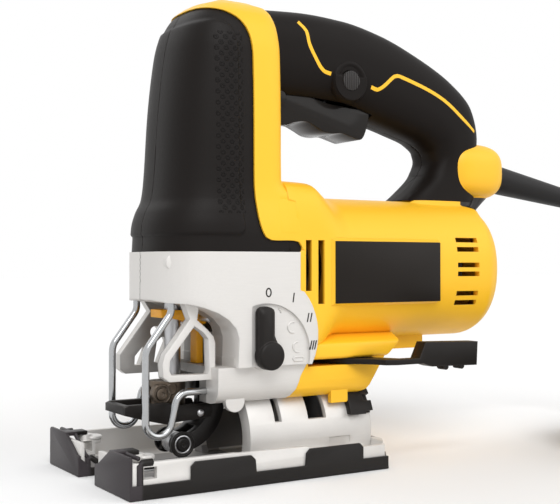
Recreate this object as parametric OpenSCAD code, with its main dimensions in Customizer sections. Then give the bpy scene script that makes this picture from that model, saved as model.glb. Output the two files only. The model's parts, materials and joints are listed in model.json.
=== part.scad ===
// Corded top-handle jigsaw with an orbital action, a keyless bevel lever and a pressed shoe cover.
// The origin is the middle of the sole, the cut runs towards -X, +Y is the tool's right side, +Z is up.

/* [Shoe] */
// Length of the shoe
shoe_l = 131; // [126:1:136]
// Width of the shoe over its cover
shoe_w = 89; // [88:0.5:91]
// Thickness of the pressed cover
cover_t = 1.2; // [1:0.1:1.3]
// Thickness of the sole casting's floor
floor_t = 1.6; // [1.4:0.1:1.8]
// Width of the blade notch between the prongs
notch_w = 18; // [15:1:19]
// Height of the side walls beside the blade
wall_h = 13.8; // [12:0.2:14]
// Height of the prong fronts
prong_h = 16.5; // [15:0.5:17]
// Outer radius of the bevel barrel on the shoe
barrel_r = 27; // [26.5:0.1:27.2]
// Wall of the bevel barrel
barrel_wall = 3; // [2.5:0.1:3.4]
// Length of the bevel barrel
barrel_l = 63; // [60:1:64]

/* [Body] */
// Height of the tower's top above the sole
tower_top = 204.5; // [204:0.5:208]
// Half of the tower's width at its foot
tower_half = 33.2; // [33:0.1:34]
// Radius of the motor barrel
motor_r = 33; // [32.6:0.1:34]
// Height of the motor's shaft above the sole
motor_z = 87; // [86:0.25:88]
// Wall of the housing halves
wall = 2.4; // [2:0.1:2.6]
// Thickness of the soft grip over the housing
grip_t = 2; // [1.6:0.1:2.2]
// Half of the handle's width
handle_half = 17; // [16.5:0.25:18]
// Height of the joint between the gear case and the housing
case_top = 94.4; // [94:0.1:95]
// Wall of the gear case halves
case_wall = 2.8; // [2.4:0.1:3]

/* [Drive] */
// Travel of the blade from its lowest to its highest point
stroke = 26; // [22:1:26]
// Module of the pinion and the drive gear
tooth_module = 0.8; // [0.76:0.01:0.82]
// Teeth on the pinion
pinion_teeth = 8; // [8:1:9]
// Teeth on the drive gear
gear_teeth = 46; // [44:1:48]
// Face width of the drive gear
gear_face = 8; // [6:0.5:9]
// Radius of the motor shaft
shaft_r = 4; // [3.5:0.1:4.5]
// Radius of the plunger
plunger_r = 3.5; // [3:0.1:3.6]
// Outer radius of the bearings on the motor shaft
bearing_r = 11; // [10:0.25:11.5]
// Outer radius of the stator
stator_r = 29; // [27:0.5:29.5]
// Outer radius of the fan
fan_r = 27; // [24:0.5:28]

/* [Blade guide] */
// Radius of the guide roller
roller_r = 4.5; // [3.5:0.1:4.6]
// Width of the guide roller
roller_w = 7; // [5:0.5:7.5]
// Radius of the wire in the finger guard
wire_r = 1.55; // [1.2:0.05:1.6]
// Distance of each guard wire from the blade's plane
wire_y = 17.5; // [17:0.25:18]
// Radius of the blade clamp's collar
clamp_r = 5.5; // [5:0.1:5.7]

/* [Controls] */
// Radius of the lock-on button
button_r = 4.5; // [3.5:0.1:5]
// Half of the trigger's width
trigger_half = 10; // [8:0.5:10.5]
// Radius of the selector's hub
selector_r = 6; // [5:0.1:6.5]
// Thickness of the bevel lever's plate
lever_t = 2.4; // [2:0.1:2.4]
// Radius of the bevel clamp bolt
bolt_r = 4; // [3:0.1:4.2]

/* [Mains lead] */
// Diameter of the lead
cord_d = 8; // [7.6:0.1:8]
// Length of the tapered strain relief outside the housing
boot_l = 58; // [50:1:60]

/* [Hidden] */
$fn = 48;
ring_steps = 16;
handle_steps = 12;
fit = 0.03;
slide_gap = 0.3;

// Shoe
shoe_x0 = -shoe_l / 2;
shoe_x1 = shoe_l / 2;
shoe_half = shoe_w / 2;
floor_z = cover_t + floor_t;
cast_half = shoe_half - cover_t;
shoe_wall = 2.4;
clip_t = 1.6;
bevel_z = 14;
barrel_x0 = -3;
barrel_x1 = barrel_x0 + barrel_l;
barrel_in = barrel_r - barrel_wall;
bolt_slot = 2 * bolt_r + 1.6;
bolt_x = 31.5;
bolt_z0 = 32.6;
detent_x = 47.6;
detent_l = barrel_x1 - detent_x - 0.2;
detent_r = barrel_r + 3.2;
rise_x = shoe_x1 - 6.5;
rise_h = 3.8;
notch_half = notch_w / 2;
notch_x = -14;

// Gear case
shoulder_z = 46.2;
belly_z = 31;
belly_half = 29;
belly_x0 = -19.5;
belly_x1 = 67;
saddle_r = barrel_r + slide_gap;
keel_z = 48.6;
foot_top = motor_z + motor_r + 0.3;
foot_stations = 9;
vent_rows = [100.6, 96.2, 88.8, 84.6, 75.4, 71];
panel_x = 35.5;
panel_z = 72.3;
panel_l = 58;
panel_h = 27;
pad_y = tower_half + 1;
deck_z = case_top - 22;
deck_t = 3;
deck_top = deck_z + deck_t;
roof_z = 44.2;
recess_d = 1.3;
leg_y0 = 17.6;
leg_y1 = 22.5;
pin_y = 13;
screw_r = 1.6;
screw_head_r = 3.2;
screw_grip = 8;
// x, z and the head's seat
case_screw_places = [[-35.6, 90, 15], [16.5, 50.5, 26], [6, 68.5, 28]];
housing_screw_places = [[24, 192, 11], [135, 158, 8], [129.5, 107, 24], [129.5, 67, 24], [62, 52.6, 24],
    [96, 52.6, 7]];
case_in = tower_half - case_wall;
// how far out the bosses on the case's wall reach, a little into it
boss_y = case_in + 0.6;
hub_x = 1.4;
hub_z = 51;
selector_shaft_r = 4;
selector_sweep = 21.6;
cam_y = 12;
lobe_x = 0.6;
lobe_z = 59;
lobe_r = 26.7;

// Drive train
pinion_r = tooth_module * pinion_teeth / 2;
gear_r = tooth_module * gear_teeth / 2;
gear_z = motor_z + pinion_r + gear_r;
gear_x = -17;
crank_r = stroke / 2;
crank_pin_r = 3;
stroke_down = 10;
yoke_z = gear_z - (crank_r - stroke_down);
yoke_x = -24.6;
yoke_hub_r = 5;
yoke_t = 4;
plunger_x = -26.4;
plunger_z0 = 32;
plunger_top = 144;
plunger_reach = plunger_top + stroke - stroke_down + 1;
crank_z = yoke_z;
crank_y = sqrt(crank_r * crank_r - (gear_z - yoke_z) * (gear_z - yoke_z));
clamp_x = -31.5;
clamp_z = 29;
clamp_h = 10.5;
plate_x = -4;
plate_t = 8;
spindle_r = 4;
lower_bush_z = 77;
lower_bush_l = 8;
lower_bush_r = 6.5;
upper_bush_z = 128.6;
upper_bush_l = 5;
upper_bush_r = 5.2;
motor_bore = motor_r - wall;
core_r = 18.5;
core_x = 46;
core_l = 42;
commutator_x = 99;
commutator_l = 14;
commutator_r = 12;
rear_bearing_x = 126;
bearing_l = 7;
fan_x = 12.5;
fan_l = 13;

// Blade guide
arm_x = -27;
arm_z = 31;
arm_r = 18.5;
arm_w = 7;
arm_cheek = 4;
arm_gap = roller_w / 2 + slide_gap;
fork_y = arm_gap + arm_cheek;
pivot_a = 15;
pivot_x = arm_x + arm_r * cos(pivot_a);
pivot_z = arm_z + arm_r * sin(pivot_a);
roller_x = arm_x + 1.5;
roller_z = arm_z - sqrt(arm_r * arm_r - 1.5 * 1.5);
pin_r = 1.5;
wire_x = -35.4;
// straight length, bend radius and bend of the guard wire, from the deck downwards
guard_bends = [
    [4.4, 6, 37], [14.35, 8, -37], [26.8, 5.8, -166.4], [9, 5.5, 76.4], [10.7, 5, 0]
];
release_x = -15;
release_z = 66;

// Handle: middle x, middle z, lean of the section, half height, share of the half width
handle_run = [
    [8, 183.5, 0, 20, 1], [36, 184.3, 0, 20.8, 1.02], [56, 183.3, 2, 21, 1],
    [76, 179, 8, 21.5, 0.98], [96, 172.8, 14, 20.5, 0.95], [114.5, 165, 28, 19, 0.92],
    [124.5, 156.5, 45, 18.6, 0.88], [127, 147.5, 60, 17.4, 0.86], [125, 138.5, 72, 17.2, 0.84],
    [119.5, 127, 82, 21.5, 0.86], [114.5, 116, 90, 28.5, 0.9]
];
// runs of the yellow line on the handle's side, and its width
handle_lines = [
    [[28.5, 198], [31.9, 194], [33.3, 187.7], [38.6, 179.3], [41.6, 176.8], [45.3, 176.1]],
    [[68.4, 172.2], [72.1, 171.3], [75.8, 173.3], [81.6, 178.1], [84.9, 178.7], [101.3, 174.4],
     [112.6, 170.1], [121.9, 164.6], [131.3, 157.3]]
];
line_w = 1.8;
line_lap = 0.3;
line_sunk = 0.1;
button_x = 56;
button_z = 173.8;
trigger_x = 21;
trigger_z = 164;
trigger_front = 15;
trigger_seat = 160;
trunnion_r = 3;
trunnion_l = 2.4;
spring_x = 50;
spring_r = 3;
switch_x = 63.2;
switch_l = 36.8;
switch_z = 171.3;
switch_h = 16;
ball_x = 144.5;
ball_z = 136;
ball_r = 14.6;
boot_x = 158.5;
boot_z = 134.3;
boot_lean = 9;
boot_r = 7.4;
boot_in = 9.6;
boot_collar_r = 9.5;
boot_collar_h = 3.2;
cord_r = cord_d / 2;
boot_end = [boot_x + boot_l * cos(boot_lean), boot_z - boot_l * sin(boot_lean)];

// Bevel lever
lever_z = 44.9;
lever_hub_r = 9;
lever_swing = 36;
slot_z0 = lever_z - slide_gap;
slot_z1 = lever_z + lever_t + slide_gap;
nut_top = slot_z1 + 3;

// Angle pointer under the left half
pointer_x = 38;
pointer_l = 9;

// The lead's route where it isn't coiled, from the strain relief to the coil
cord_route = [
    [216, 0, 125.2], [226, 0, 123.2], [236, 0, 118.5], [244, 0, 111], [249.5, 0, 101],
    [251.8, 0, 89], [252, -0.5, 76], [252, -1.5, 62], [252, -3.5, 48], [252, -7.5, 35.5],
    [252, -13.5, 24.5], [252, -21.5, 15], [252, -31.5, 8], [252, -43, 4.6], [252, -55, 4],
    [252, -62, 4]
];
coil_at = [204, -81];
coil_r = 40;
coil_lanes = 3;
coil_layers = 4;
// the lead leaves the top turn here and bends towards the plug
leave_a = -40;
last_bend = 34;
plug_w = 34;
plug_l = 46;
plug_at = [
    coil_at[0] + (coil_r + cord_r - last_bend) * cos(leave_a) - plug_l,
    coil_at[1] + (coil_r + cord_r - last_bend) * sin(leave_a) - last_bend
];

// ---------------------------------------------------------------- shared forms

// A number raised to a power with its sign kept
function keep_sign(v, e) = sign(v) * pow(abs(v), e);

// Half of a rounded outline, from the rear middle round the left side to the front middle
function half_outline(mid, rear, front, half, n_rear, n_front, steps) = [
    for (i = [0 : steps])
        let (a = 180 * i / steps, n = a < 90 ? n_rear : n_front, reach = a < 90 ? rear : front)
            [mid + reach * keep_sign(cos(a), 2 / n), -half * pow(abs(sin(a)), 2 / n)]
];

// A closed skin over outlines that all have as many points
module loft(rings) {
    n = len(rings[0]);
    last = (len(rings) - 1) * n;
    polyhedron(
        points = [for (r = rings) each r],
        faces = [
            [for (i = [n - 1 : -1 : 0]) i],
            [for (i = [0 : n - 1]) last + i],
            for (j = [0 : len(rings) - 2])
                for (i = [0 : n - 1])
                    let (a = j * n + i, b = j * n + (i + 1) % n)
                        each [[a, b, b + n], [a, b + n, a + n]]
        ]
    );
}

// A tube of any route, swept as one skin
module sweep_tube(route, r, sides) {
    last = len(route) - 1;
    rings = [
        for (i = [0 : last])
            let (
                ahead = route[min(i + 1, last)] - route[max(i - 1, 0)],
                t = ahead / norm(ahead),
                side = abs(t[1]) > 0.9 ? [1, 0, 0] : [0, 1, 0],
                u0 = cross(t, side),
                u = u0 / norm(u0),
                v = cross(t, u)
            )
                [for (k = [0 : sides - 1])
                    route[i] + r * (cos(-360 * k / sides) * u + sin(-360 * k / sides) * v)]
    ];
    loft(rings);
}

// An XZ outline made into a slab from y0 to y1
module side_slab(points, y0, y1) {
    translate([0, y1, 0])
        rotate([90, 0, 0])
            linear_extrude(height = y1 - y0)
                polygon(points);
}

// A cylinder that lies along X
module rod_x(r, l) {
    rotate([0, 90, 0])
        cylinder(r = r, h = l);
}

// A cylinder that lies along Y
module rod_y(r, l) {
    rotate([-90, 0, 0])
        cylinder(r = r, h = l);
}

module mirror_copy_y() {
    children();
    mirror([0, 1, 0])
        children();
}

// Points of a bent wire in the XZ plane: each step is a straight length, a bend's radius and its angle
function bent_route(steps, at, heading, i = 0) =
    i == len(steps) ? [] :
    let (
        l = steps[i][0],
        r = steps[i][1],
        bend = steps[i][2],
        side = bend < 0 ? -1 : 1,
        p = at + l * [sin(heading), 0, cos(heading)],
        middle = p + side * r * [cos(heading), 0, -sin(heading)],
        count = max(1, ceil(abs(bend) / 12)),
        out = [for (k = [0 : count]) let (h = heading + bend * k / count)
            middle - side * r * [cos(h), 0, -sin(h)]]
    )
        bend == 0 ? [p] : concat(out, bent_route(steps, out[count], heading + bend, i + 1));

// A spur gear's outline
function gear_outline(teeth, m, thin) =
    let (r = teeth * m / 2, pitch = 360 / teeth, top = r + 0.85 * m, root = r - 1.2 * m)
        [for (i = [0 : teeth - 1])
            for (p = [[root, -0.3], [r, -0.22 + thin], [top, -0.1], [top, 0.1], [r, 0.22 - thin],
                [root, 0.3]])
                [p[0] * cos((i + p[1]) * pitch), p[0] * sin((i + p[1]) * pitch)]];

// ---------------------------------------------------------------- outer forms, left halves

// Tower stations: height, front, half width, rear
tower_run = [
    [case_top, -41.7, tower_half, 17], [101, -41.3, tower_half, 17], [105.5, -40.9, tower_half - 0.3, 16.5],
    [111, -39.4, tower_half - 1.2, 16], [117, -36.6, tower_half - 2.4, 15],
    [124, -35.5, tower_half - 2.9, 14.4], [155, -33.3, tower_half - 3.2, 14.3],
    [180, -30.2, tower_half - 4, 14.2], [189, -28, tower_half - 5.6, 13.8],
    [196, -24.6, tower_half - 9, 13], [201, -19, tower_half - 15, 12], [tower_top, -9, tower_half - 24, 9]
];

// The tower set in by d on every side
module tower_half_form(d) {
    last = len(tower_run) - 1;
    loft([
        for (i = [0 : last])
            let (
                s = tower_run[i],
                rear = 15,
                mid = s[3] - rear,
                z = i == 0 ? s[0] - (d > 0 ? 1 : 0) : i > last - 5 ? s[0] - d : s[0]
            )
                [for (p = half_outline(mid, rear - d, mid - s[1] - d, s[2] - d, 5, 2.8, ring_steps))
                    [p[0], p[1], z]]
    ]);
}

// Body stations: x, middle height, half height, half width, squareness
body_run = [
    [13, 86.5, 39.5, tower_half - 0.2, 6], [27, 86.5, 39, tower_half - 0.2, 6],
    [34, 86.8, 36.5, tower_half, 4], [40, motor_z, motor_r + 1, motor_r + 1, 2.7],
    [46, motor_z, motor_r, motor_r + 1, 2.4], [132, motor_z, motor_r, motor_r + 1, 2.4],
    [142, motor_z, motor_r - 1.2, motor_r - 0.6, 2.3], [151, motor_z, motor_r - 4.4, motor_r - 4.4, 2.2],
    [157, motor_z, motor_r - 11, motor_r - 11, 2.1], [160.5, motor_z, motor_r - 20, motor_r - 20, 2],
    [161.5, motor_z, motor_r - 27, motor_r - 27, 2]
];

// The motor barrel with its squarer front
module body_half_form(count) {
    loft([
        for (i = [0 : count - 1])
            let (s = body_run[i])
            [for (p = half_outline(0, s[2], s[2], s[3], s[4], s[4], ring_steps))
                [s[0], p[1], s[1] - p[0]]]
    ]);
}

// The handle set in by d
module handle_half_form(d, from) {
    loft([
        for (i = [from : len(handle_run) - 1])
            let (s = handle_run[i], h = s[3] - d, w = handle_half * s[4] - d)
                [for (p = half_outline(0, h, h, w, 2.7, 2.7, handle_steps))
                    [s[0] - p[0] * sin(s[2]), p[1], s[1] - p[0] * cos(s[2])]]
    ]);
}

// Narrow slot in the handle's rubber, before and behind the lock button
module handle_line() {
    for (run = handle_lines)
        for (i = [0 : len(run) - 2])
            let (a = run[i], b = run[i + 1], turn = atan2(b[1] - a[1], b[0] - a[0]))
                translate([a[0], -handle_half - 2, a[1]])
                    rotate([0, -turn, 0])
                        translate([i == 0 ? 0 : -line_lap, 0, -line_w / 2])
                            cube([norm(b - a) + line_lap, handle_half, line_w]);
}

// Outline of the soft front grip seen from the side
front_grip_outline = [
    [-60, case_top - 5], [12.6, case_top - 5], [12.6, 99.3], [4, 99.3], [1.2, 100.6],
    [-0.6, 103.5], [-2, 109], [-2.9, 122], [-3, 178], [-4.2, 186.5], [-7.5, 192.5], [-13, 196.2],
    [-20, 198.2], [-60, 200.4]
];

// Outline of the gear case seen from the side, down to its shoulder
case_outline = concat(
    [[-60, case_top + 20], [-60, 74.2], [-41.2, 74.2], [-38, 73.2], [-31, 72.7], [-25.8, 71.2], [-20.5, 69],
     [-16.2, 66.2], [-13, 62.6], [-11.6, 58.4], [-12, shoulder_z]],
    [for (a = [-28.5 : 8 : 43.5]) [lobe_x + lobe_r * cos(a), lobe_z + lobe_r * sin(a)]],
    [[18, 78], [18, case_top + 20]]
);

// What the gear case takes away from the housing's side
module case_zone() {
    side_slab(
        concat(
            [[-60, case_top], [-60, 0], [16, 0], [16, belly_z], [18.9, 35.7], [20.7, 41], [24.1, shoulder_z]],
            [for (a = [-28.5 : 8 : 43.5]) [lobe_x + lobe_r * cos(a), lobe_z + lobe_r * sin(a)]],
            [[18, 78], [18, case_top]]
        ),
        -60, 1
    );
}

// The underside between the shoulder and the saddle, left half
module belly_form(x0, x1) {
    translate([x0, 0, 0])
        rotate([90, 0, 90])
            linear_extrude(height = x1 - x0)
                polygon([
                    [0, shoulder_z + 4], [-belly_half, shoulder_z + 4], [-belly_half, 38.5], [-28.2, 35],
                    [-26.4, 32.6], [-24, 31.3], [-22, belly_z], [0, belly_z]
                ]);
}

// Room for the barrel to turn under the belly
module saddle_cut(x0, x1, r) {
    translate([x0, 0, bevel_z])
        rod_x(r, x1 - x0);
}

// ---------------------------------------------------------------- housing

// Soft front grip's outline seen from the side
module grip_zone() {
    side_slab(front_grip_outline, -50, 1);
    side_slab([[12, case_top + 0.8], [19, case_top + 0.8], [19, 96.5], [17.6, 98.6], [15, 99.2], [12, 99.3]],
        -50, grip_t - tower_half);
}

module front_shell() {
    tower_half_form(0);
    body_half_form(2);
}

module ball_half() {
    translate([ball_x, 0, ball_z])
        difference() {
            sphere(r = ball_r);
            translate([-30, 0, -30])
                cube(60);
        }
}

// Neck between the barrel and the ball at the lead
module neck() {
    translate([ball_x - 1.5, 0, motor_z])
        cylinder(r = 11.5, h = ball_z - motor_z);
}

// The foot of the pillar on the barrel
module pillar_foot() {
    intersection() {
        handle_half_form(0, foot_stations);
        translate([60, -40, 90])
            cube([100, 40, foot_top - 90]);
    }
}

module housing_outer() {
    difference() {
        union() {
            tower_half_form(0);
            body_half_form(len(body_run));
        }
        difference() {
            grip_zone();
            tower_half_form(grip_t);
        }
    }
    handle_half_form(grip_t, 0);
    intersection() {
        handle_half_form(line_sunk, 0);
        handle_line();
    }
    pillar_foot();
    ball_half();
    intersection() {
        neck();
        translate([100, -40, 100])
            cube([80, 40, 60]);
    }
    // lower block round the bevel clamp
    intersection() {
        belly_form(13, 75);
        side_slab([[13, belly_z], [53, belly_z], [57.4, 33], [59.8, 38], [65, 46], [73, 57], [73, 66],
            [13, 66]], -40, 0);
    }
    // keel under the barrel
    translate([60, -10, keel_z])
        cube([44, 10, 12]);
    // pad for the side panel
    translate([panel_x - 1.4, -pad_y, panel_z - 1.4])
        cube([panel_l + 2.8, 8, panel_h + 2.8]);
}

module motor_bay() {
    difference() {
        translate([12, 0, motor_z])
            rod_x(motor_bore, 124);
        // seat of the rear bearing
        translate([rear_bearing_x - 2, -40, motor_z - 40])
            cube([bearing_l + 4, 41, 80]);
        // rings that hold the stator
        for (x = [core_x + 2, core_x + core_l - 6])
            translate([x, 0, motor_z])
                difference() {
                    rod_x(motor_r, 4);
                    translate([-1, 0, 0])
                        rod_x(stator_r, 6);
                }
        // rib that holds the brush holders
        translate([commutator_x + 1, 0, motor_z])
            difference() {
                rod_x(motor_r, 3);
                translate([-1, 0, 0])
                    rod_x(22, 5);
            }
    }
    // hollow behind the rear bearing
    translate([rear_bearing_x + bearing_l + 2, 0, motor_z])
        rod_x(motor_r - 10, 15);
    translate([rear_bearing_x, 0, motor_z])
        rod_x(bearing_r, bearing_l);
    translate([rear_bearing_x - 3, 0, motor_z])
        rod_x(shaft_r + 2, bearing_l + 6);
}

module gear_bay() {
    difference() {
        union() {
            tower_half_form(grip_t + wall);
            // way through to the motor bay
            translate([-10, 4.6 - tower_half, case_top - 1])
                cube([28, tower_half - 4.6, 20]);
        }
        // shelf round the upper bushing
        translate([-60, -60, upper_bush_z - 0.4])
            cube([44, 61, upper_bush_l + 0.8]);
    }
    translate([plunger_x, 0, upper_bush_z - 1])
        cylinder(r = plunger_r + 0.5, h = plunger_reach - upper_bush_z + 2);
    translate([plunger_x, 0, upper_bush_z])
        cylinder(r = upper_bush_r, h = upper_bush_l);
    translate([plunger_x, 0, case_top])
        cylinder(r = yoke_hub_r + 0.5, h = upper_bush_z - case_top - 0.4);
}

// Trigger bay, switch bay and the lead's way down the pillar
module handle_bays() {
    side_slab([[trigger_front - slide_gap, 158.6], [26, 158.6], [26, 150], [73.2, 150], [73.2, switch_z],
        [switch_x + switch_l, switch_z], [switch_x + switch_l, switch_z + switch_h],
        [switch_x, switch_z + switch_h], [switch_x, 172.4], [trigger_front - slide_gap, 172.4]],
        -trigger_half - slide_gap, 1);
    side_slab([[98, 172], [118, 166], [123, 150], [134, 150], [128, 166], [113, 178], [98, 184]], -7, 1);
    side_slab([[123, 151], [126, 136], [137, 136], [134, 151]], -7, 1);
    translate([trigger_x, -trigger_half - trunnion_l - slide_gap, trigger_z])
        rod_y(trunnion_r + 0.05, 30);
    boot_axis() {
        translate([0, 0, -25])
            cylinder(r = 5, h = 60);
        translate([0, 0, -boot_in])
            cylinder(r = boot_collar_r, h = boot_collar_h);
        translate([0, 0, -boot_in])
            cylinder(r = boot_r, h = 40);
    }
}

module boot_axis() {
    translate([boot_x, 0, boot_z])
        rotate([0, 90 + boot_lean, 0])
            children();
}

module vents() {
    for (v = [[20.9, 77.7, 3], [27.3, 72, 3.2]])
        translate([v[0], -60, v[1]])
            cube([v[2], 40, 99.5 - v[1]]);
    for (z = vent_rows)
        translate([106, -60, z - 1.1])
            cube([13.5, 40, 2.2]);
}

module housing_half(left) {
    difference() {
        union() {
            housing_outer();
            // angle pointer beside the barrel's scale
            if (left)
                translate([pointer_x, 2 - belly_half, 27.8])
                    cube([pointer_l, 2.4, 6]);
        }
        if (left)
            control_cuts();
        motor_bay();
        gear_bay();
        handle_bays();
        vents();
        case_zone();
        // pocket for the side panel
        translate([panel_x, -pad_y - 1, panel_z])
            cube([panel_l, 2, panel_h]);
        // the barrel and its detent ring turn in the saddle
        saddle_cut(12, 90, saddle_r);
        saddle_cut(detent_x - 1, 90, detent_r + slide_gap);
        // bevel clamp
        translate([bolt_x, 0, 38])
            cylinder(r = bolt_r, h = 10);
        clamp_room();
    }
}

// Room for the lever's hub and the nut
module clamp_room() {
    translate([bolt_x, 0, slot_z0])
        cylinder(r = lever_hub_r + 1, h = nut_top - slot_z0 + slide_gap);
}

// Slot that the bevel lever swings in
module lever_sweep() {
    translate([bolt_x, 0, slot_z0])
        linear_extrude(height = slot_z1 - slot_z0)
            polygon(lever_slot());
}

// Lever slot, button bore and screw bores of the left half
module control_cuts() {
    lever_sweep();
    translate([button_x, -40, button_z])
        rod_y(button_r + 0.15, 32);
    translate([button_x, -trigger_half - slide_gap, button_z])
        rod_y(button_r + 2, 7);
    for (p = housing_screw_places)
        translate([p[0], -screw_grip, p[1]])
            rod_y(screw_r, screw_grip + 1);
}

module left_housing() {
    color([1, 0.78, 0.17])
        housing_half(true);
}

module right_housing() {
    color([1, 0.78, 0.17])
        difference() {
            mirror([0, 1, 0])
                housing_half(false);
            for (p = housing_screw_places) {
                translate([p[0], -1, p[1]])
                    rod_y(screw_r, 60);
                translate([p[0], p[2], p[1]])
                    rod_y(screw_head_r + 0.2, 60);
            }
        }
}

module screw(x, z, head_y) {
    translate([x, -screw_grip, z])
        rod_y(screw_r, head_y + screw_grip);
    difference() {
        translate([x, head_y, z])
            rod_y(screw_head_r, 2.6);
        translate([x, head_y + 1.2, z])
            rotate([-90, 0, 0])
                cylinder(r = 1.7, h = 4, $fn = 6);
    }
}

module housing_screws() {
    color([0.25, 0.25, 0.27])
        for (p = housing_screw_places)
            screw(p[0], p[1], p[2]);
}

module front_grip_half() {
    difference() {
        intersection() {
            front_shell();
            grip_zone();
        }
        tower_half_form(grip_t);
    }
}

module left_front_grip() {
    color([0.15, 0.14, 0.14])
        front_grip_half();
}

module right_front_grip() {
    color([0.15, 0.14, 0.14])
        mirror([0, 1, 0])
            front_grip_half();
}

module handle_grip_half(collar) {
    difference() {
        union() {
            handle_half_form(0, 0);
            // collar round the lock-on button
            if (collar)
                translate([button_x, -handle_half - 0.6, button_z])
                    rod_y(9, 3);
        }
        handle_half_form(grip_t, 0);
        translate([-20, -40, 100])
            cube([34.5, 41, 120]);
        translate([60, -40, 60])
            cube([100, 41, foot_top - 60]);
        handle_line();
        ball_half();
        neck();
        handle_bays();
    }
}

module left_handle_grip() {
    color([0.15, 0.14, 0.14])
        difference() {
            handle_grip_half(true);
            translate([button_x, -40, button_z])
                rod_y(button_r + 0.15, 40);
        }
}

module right_handle_grip() {
    color([0.15, 0.14, 0.14])
        difference() {
            mirror([0, 1, 0])
                handle_grip_half(false);
            for (p = housing_screw_places)
                translate([p[0], p[2], p[1]])
                    rod_y(screw_head_r + 0.2, 60);
        }
}

module side_panels() {
    color([0.12, 0.12, 0.12])
        mirror_copy_y()
            translate([panel_x, -pad_y - 0.4, panel_z])
                cube([panel_l, 1.4, panel_h]);
}

// ---------------------------------------------------------------- gear case

module case_plan(d, z0, z1) {
    outline = half_outline(2, 40 - d, 43.7 - d, tower_half - d, 6, 2.8, ring_steps);
    last = outline[len(outline) - 1];
    translate([0, 0, z0])
        linear_extrude(height = z1 - z0)
            polygon(d == 0 ? outline : concat(outline, [[last[0], 1], [outline[0][0], 1]]));
}

left_leg = [[-32, 73.4], [-29.2, 66.4], [-35.3, 58.6], [-40.5, 52.2], [-41.7, 48.3], [-41.2, 43],
    [-38.6, 41.1], [-17.5, 41.1], [-17.5, 56.4], [-18.4, 59], [-21.3, 62.1], [-26, 66], [-25, 73.4]];
left_leg_window = [[-27.2, 63.6], [-23, 60.8], [-20.6, 58], [-20.1, 45.1], [-20.9, 43.4], [-37.6, 43.8],
    [-38.6, 45.6], [-38.3, 49.8], [-35.6, 53.4]];
right_leg = [[-32, 73.4], [-28.6, 68.1], [-43, 49.6], [-43, 43], [-40.5, 41.1], [-17.5, 41.1], [-17.5, 73.4]];

module case_base() {
    difference() {
        union() {
            intersection() {
                case_plan(0, shoulder_z, case_top);
                side_slab(case_outline, -40, 0);
            }
            intersection() {
                belly_form(belly_x0, 25);
                side_slab([[belly_x0, shoulder_z], [belly_x0, belly_z], [16, belly_z], [18.9, 35.7],
                    [20.7, 41], [24, shoulder_z], [24, 50], [-12, 50], [-12, shoulder_z]], -40, 0);
            }
        }
        // gear chamber
        intersection() {
            case_plan(case_wall, deck_top, case_top + 1);
            translate([-60, -60, 0])
                cube([90, 61, 200]);
        }
        translate([11.5, 0, motor_z])
            rod_x(motor_bore, 30);
        // selector chamber
        translate([-9.5, -case_in, shoulder_z + 2.4])
            cube([19.5, case_in + 1, deck_z - shoulder_z - 2.4]);
        translate([-9.5, -belly_half + case_wall, roof_z])
            cube([19.5, belly_half + 1 - case_wall, 8]);
        // room for the roller arm
        translate([belly_x0 + 2.5, -24, 20])
            cube([-3.3 - belly_x0 - 2.5, 25, roof_z - 1.7 - 20]);
        translate([belly_x0 - 1, -12, 20])
            cube([5, 13, roof_z - 1.7 - 20]);
        saddle_cut(-3.3, 40, saddle_r);
        // channel and slot for the blade release
        translate([-24, -10, 60])
            cube([15, 11, 13]);
        translate([-17.4, -5, roof_z - 4])
            cube([8.4, 6, 30]);
        // recess round the selector
        selector_recess();
        clamp_room();
        translate([plunger_x, 0, 50])
            cylinder(r = plunger_r + 0.6, h = 40);
        translate([wire_x, -wire_y, 60])
            cylinder(r = wire_r, h = deck_top - 60);
        translate([belly_x0 - 1, -wire_y, 35.9])
            rod_x(wire_r, 3.6);
    }
}

module selector_recess() {
    intersection() {
        translate([hub_x, -tower_half - 1, hub_z])
            rod_y(selector_sweep, 1 + recess_d);
        side_slab([[hub_x - 7, hub_z - 8], [hub_x + 40, hub_z - 8], [hub_x + 40, hub_z + 40],
            [hub_x - 7, hub_z + 40]], -60, 0);
    }
}

module case_details() {
    // boss round the lower bushing
    translate([plunger_x, 0, deck_top])
        cylinder(r = 8.6, h = lower_bush_z + lower_bush_l + 1 - deck_top);
    translate([-40, -3, deck_top])
        cube([8, 6, 10]);
    // ribs before and behind the gear plate
    for (x = [plate_x - 2.4, plate_x + plate_t])
        translate([x, -boss_y, deck_top])
            cube([2.4, boss_y - 25, case_top - deck_top]);
    // ears for the roller arm's pivot
    translate([-14, -13, 32])
        cube([9.6, 4, 11]);
    // ear beside the barrel
    intersection() {
        translate([-10.2, -26.6, 31.8])
            rod_y(4.5, 2.8);
        translate([-20, -40, 20])
            cube([20, 40, 14]);
    }
    // screw bosses
    translate([-35.6, -20, 90])
        rod_y(3.4, 20);
    translate([6, -boss_y, 68.5])
        rod_y(3.6, boss_y);
    // boss round the selector's shaft
    translate([hub_x, -boss_y, hub_z])
        rod_y(6.5, boss_y - 26);
}

module case_half() {
    difference() {
        union() {
            case_base();
            intersection() {
                case_details();
                translate([-60, -60, 0])
                    cube([120, 60, 200]);
            }
        }
        translate([plunger_x, 0, lower_bush_z])
            cylinder(r = lower_bush_r, h = lower_bush_l);
        translate([plunger_x, 0, 50])
            cylinder(r = plunger_r + 0.6, h = 60);
        for (p = [[release_x, release_z], [pivot_x, pivot_z]])
            translate([p[0], -pin_y, p[1]])
                rod_y(pin_r, pin_y + 1);
    }
}

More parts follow.
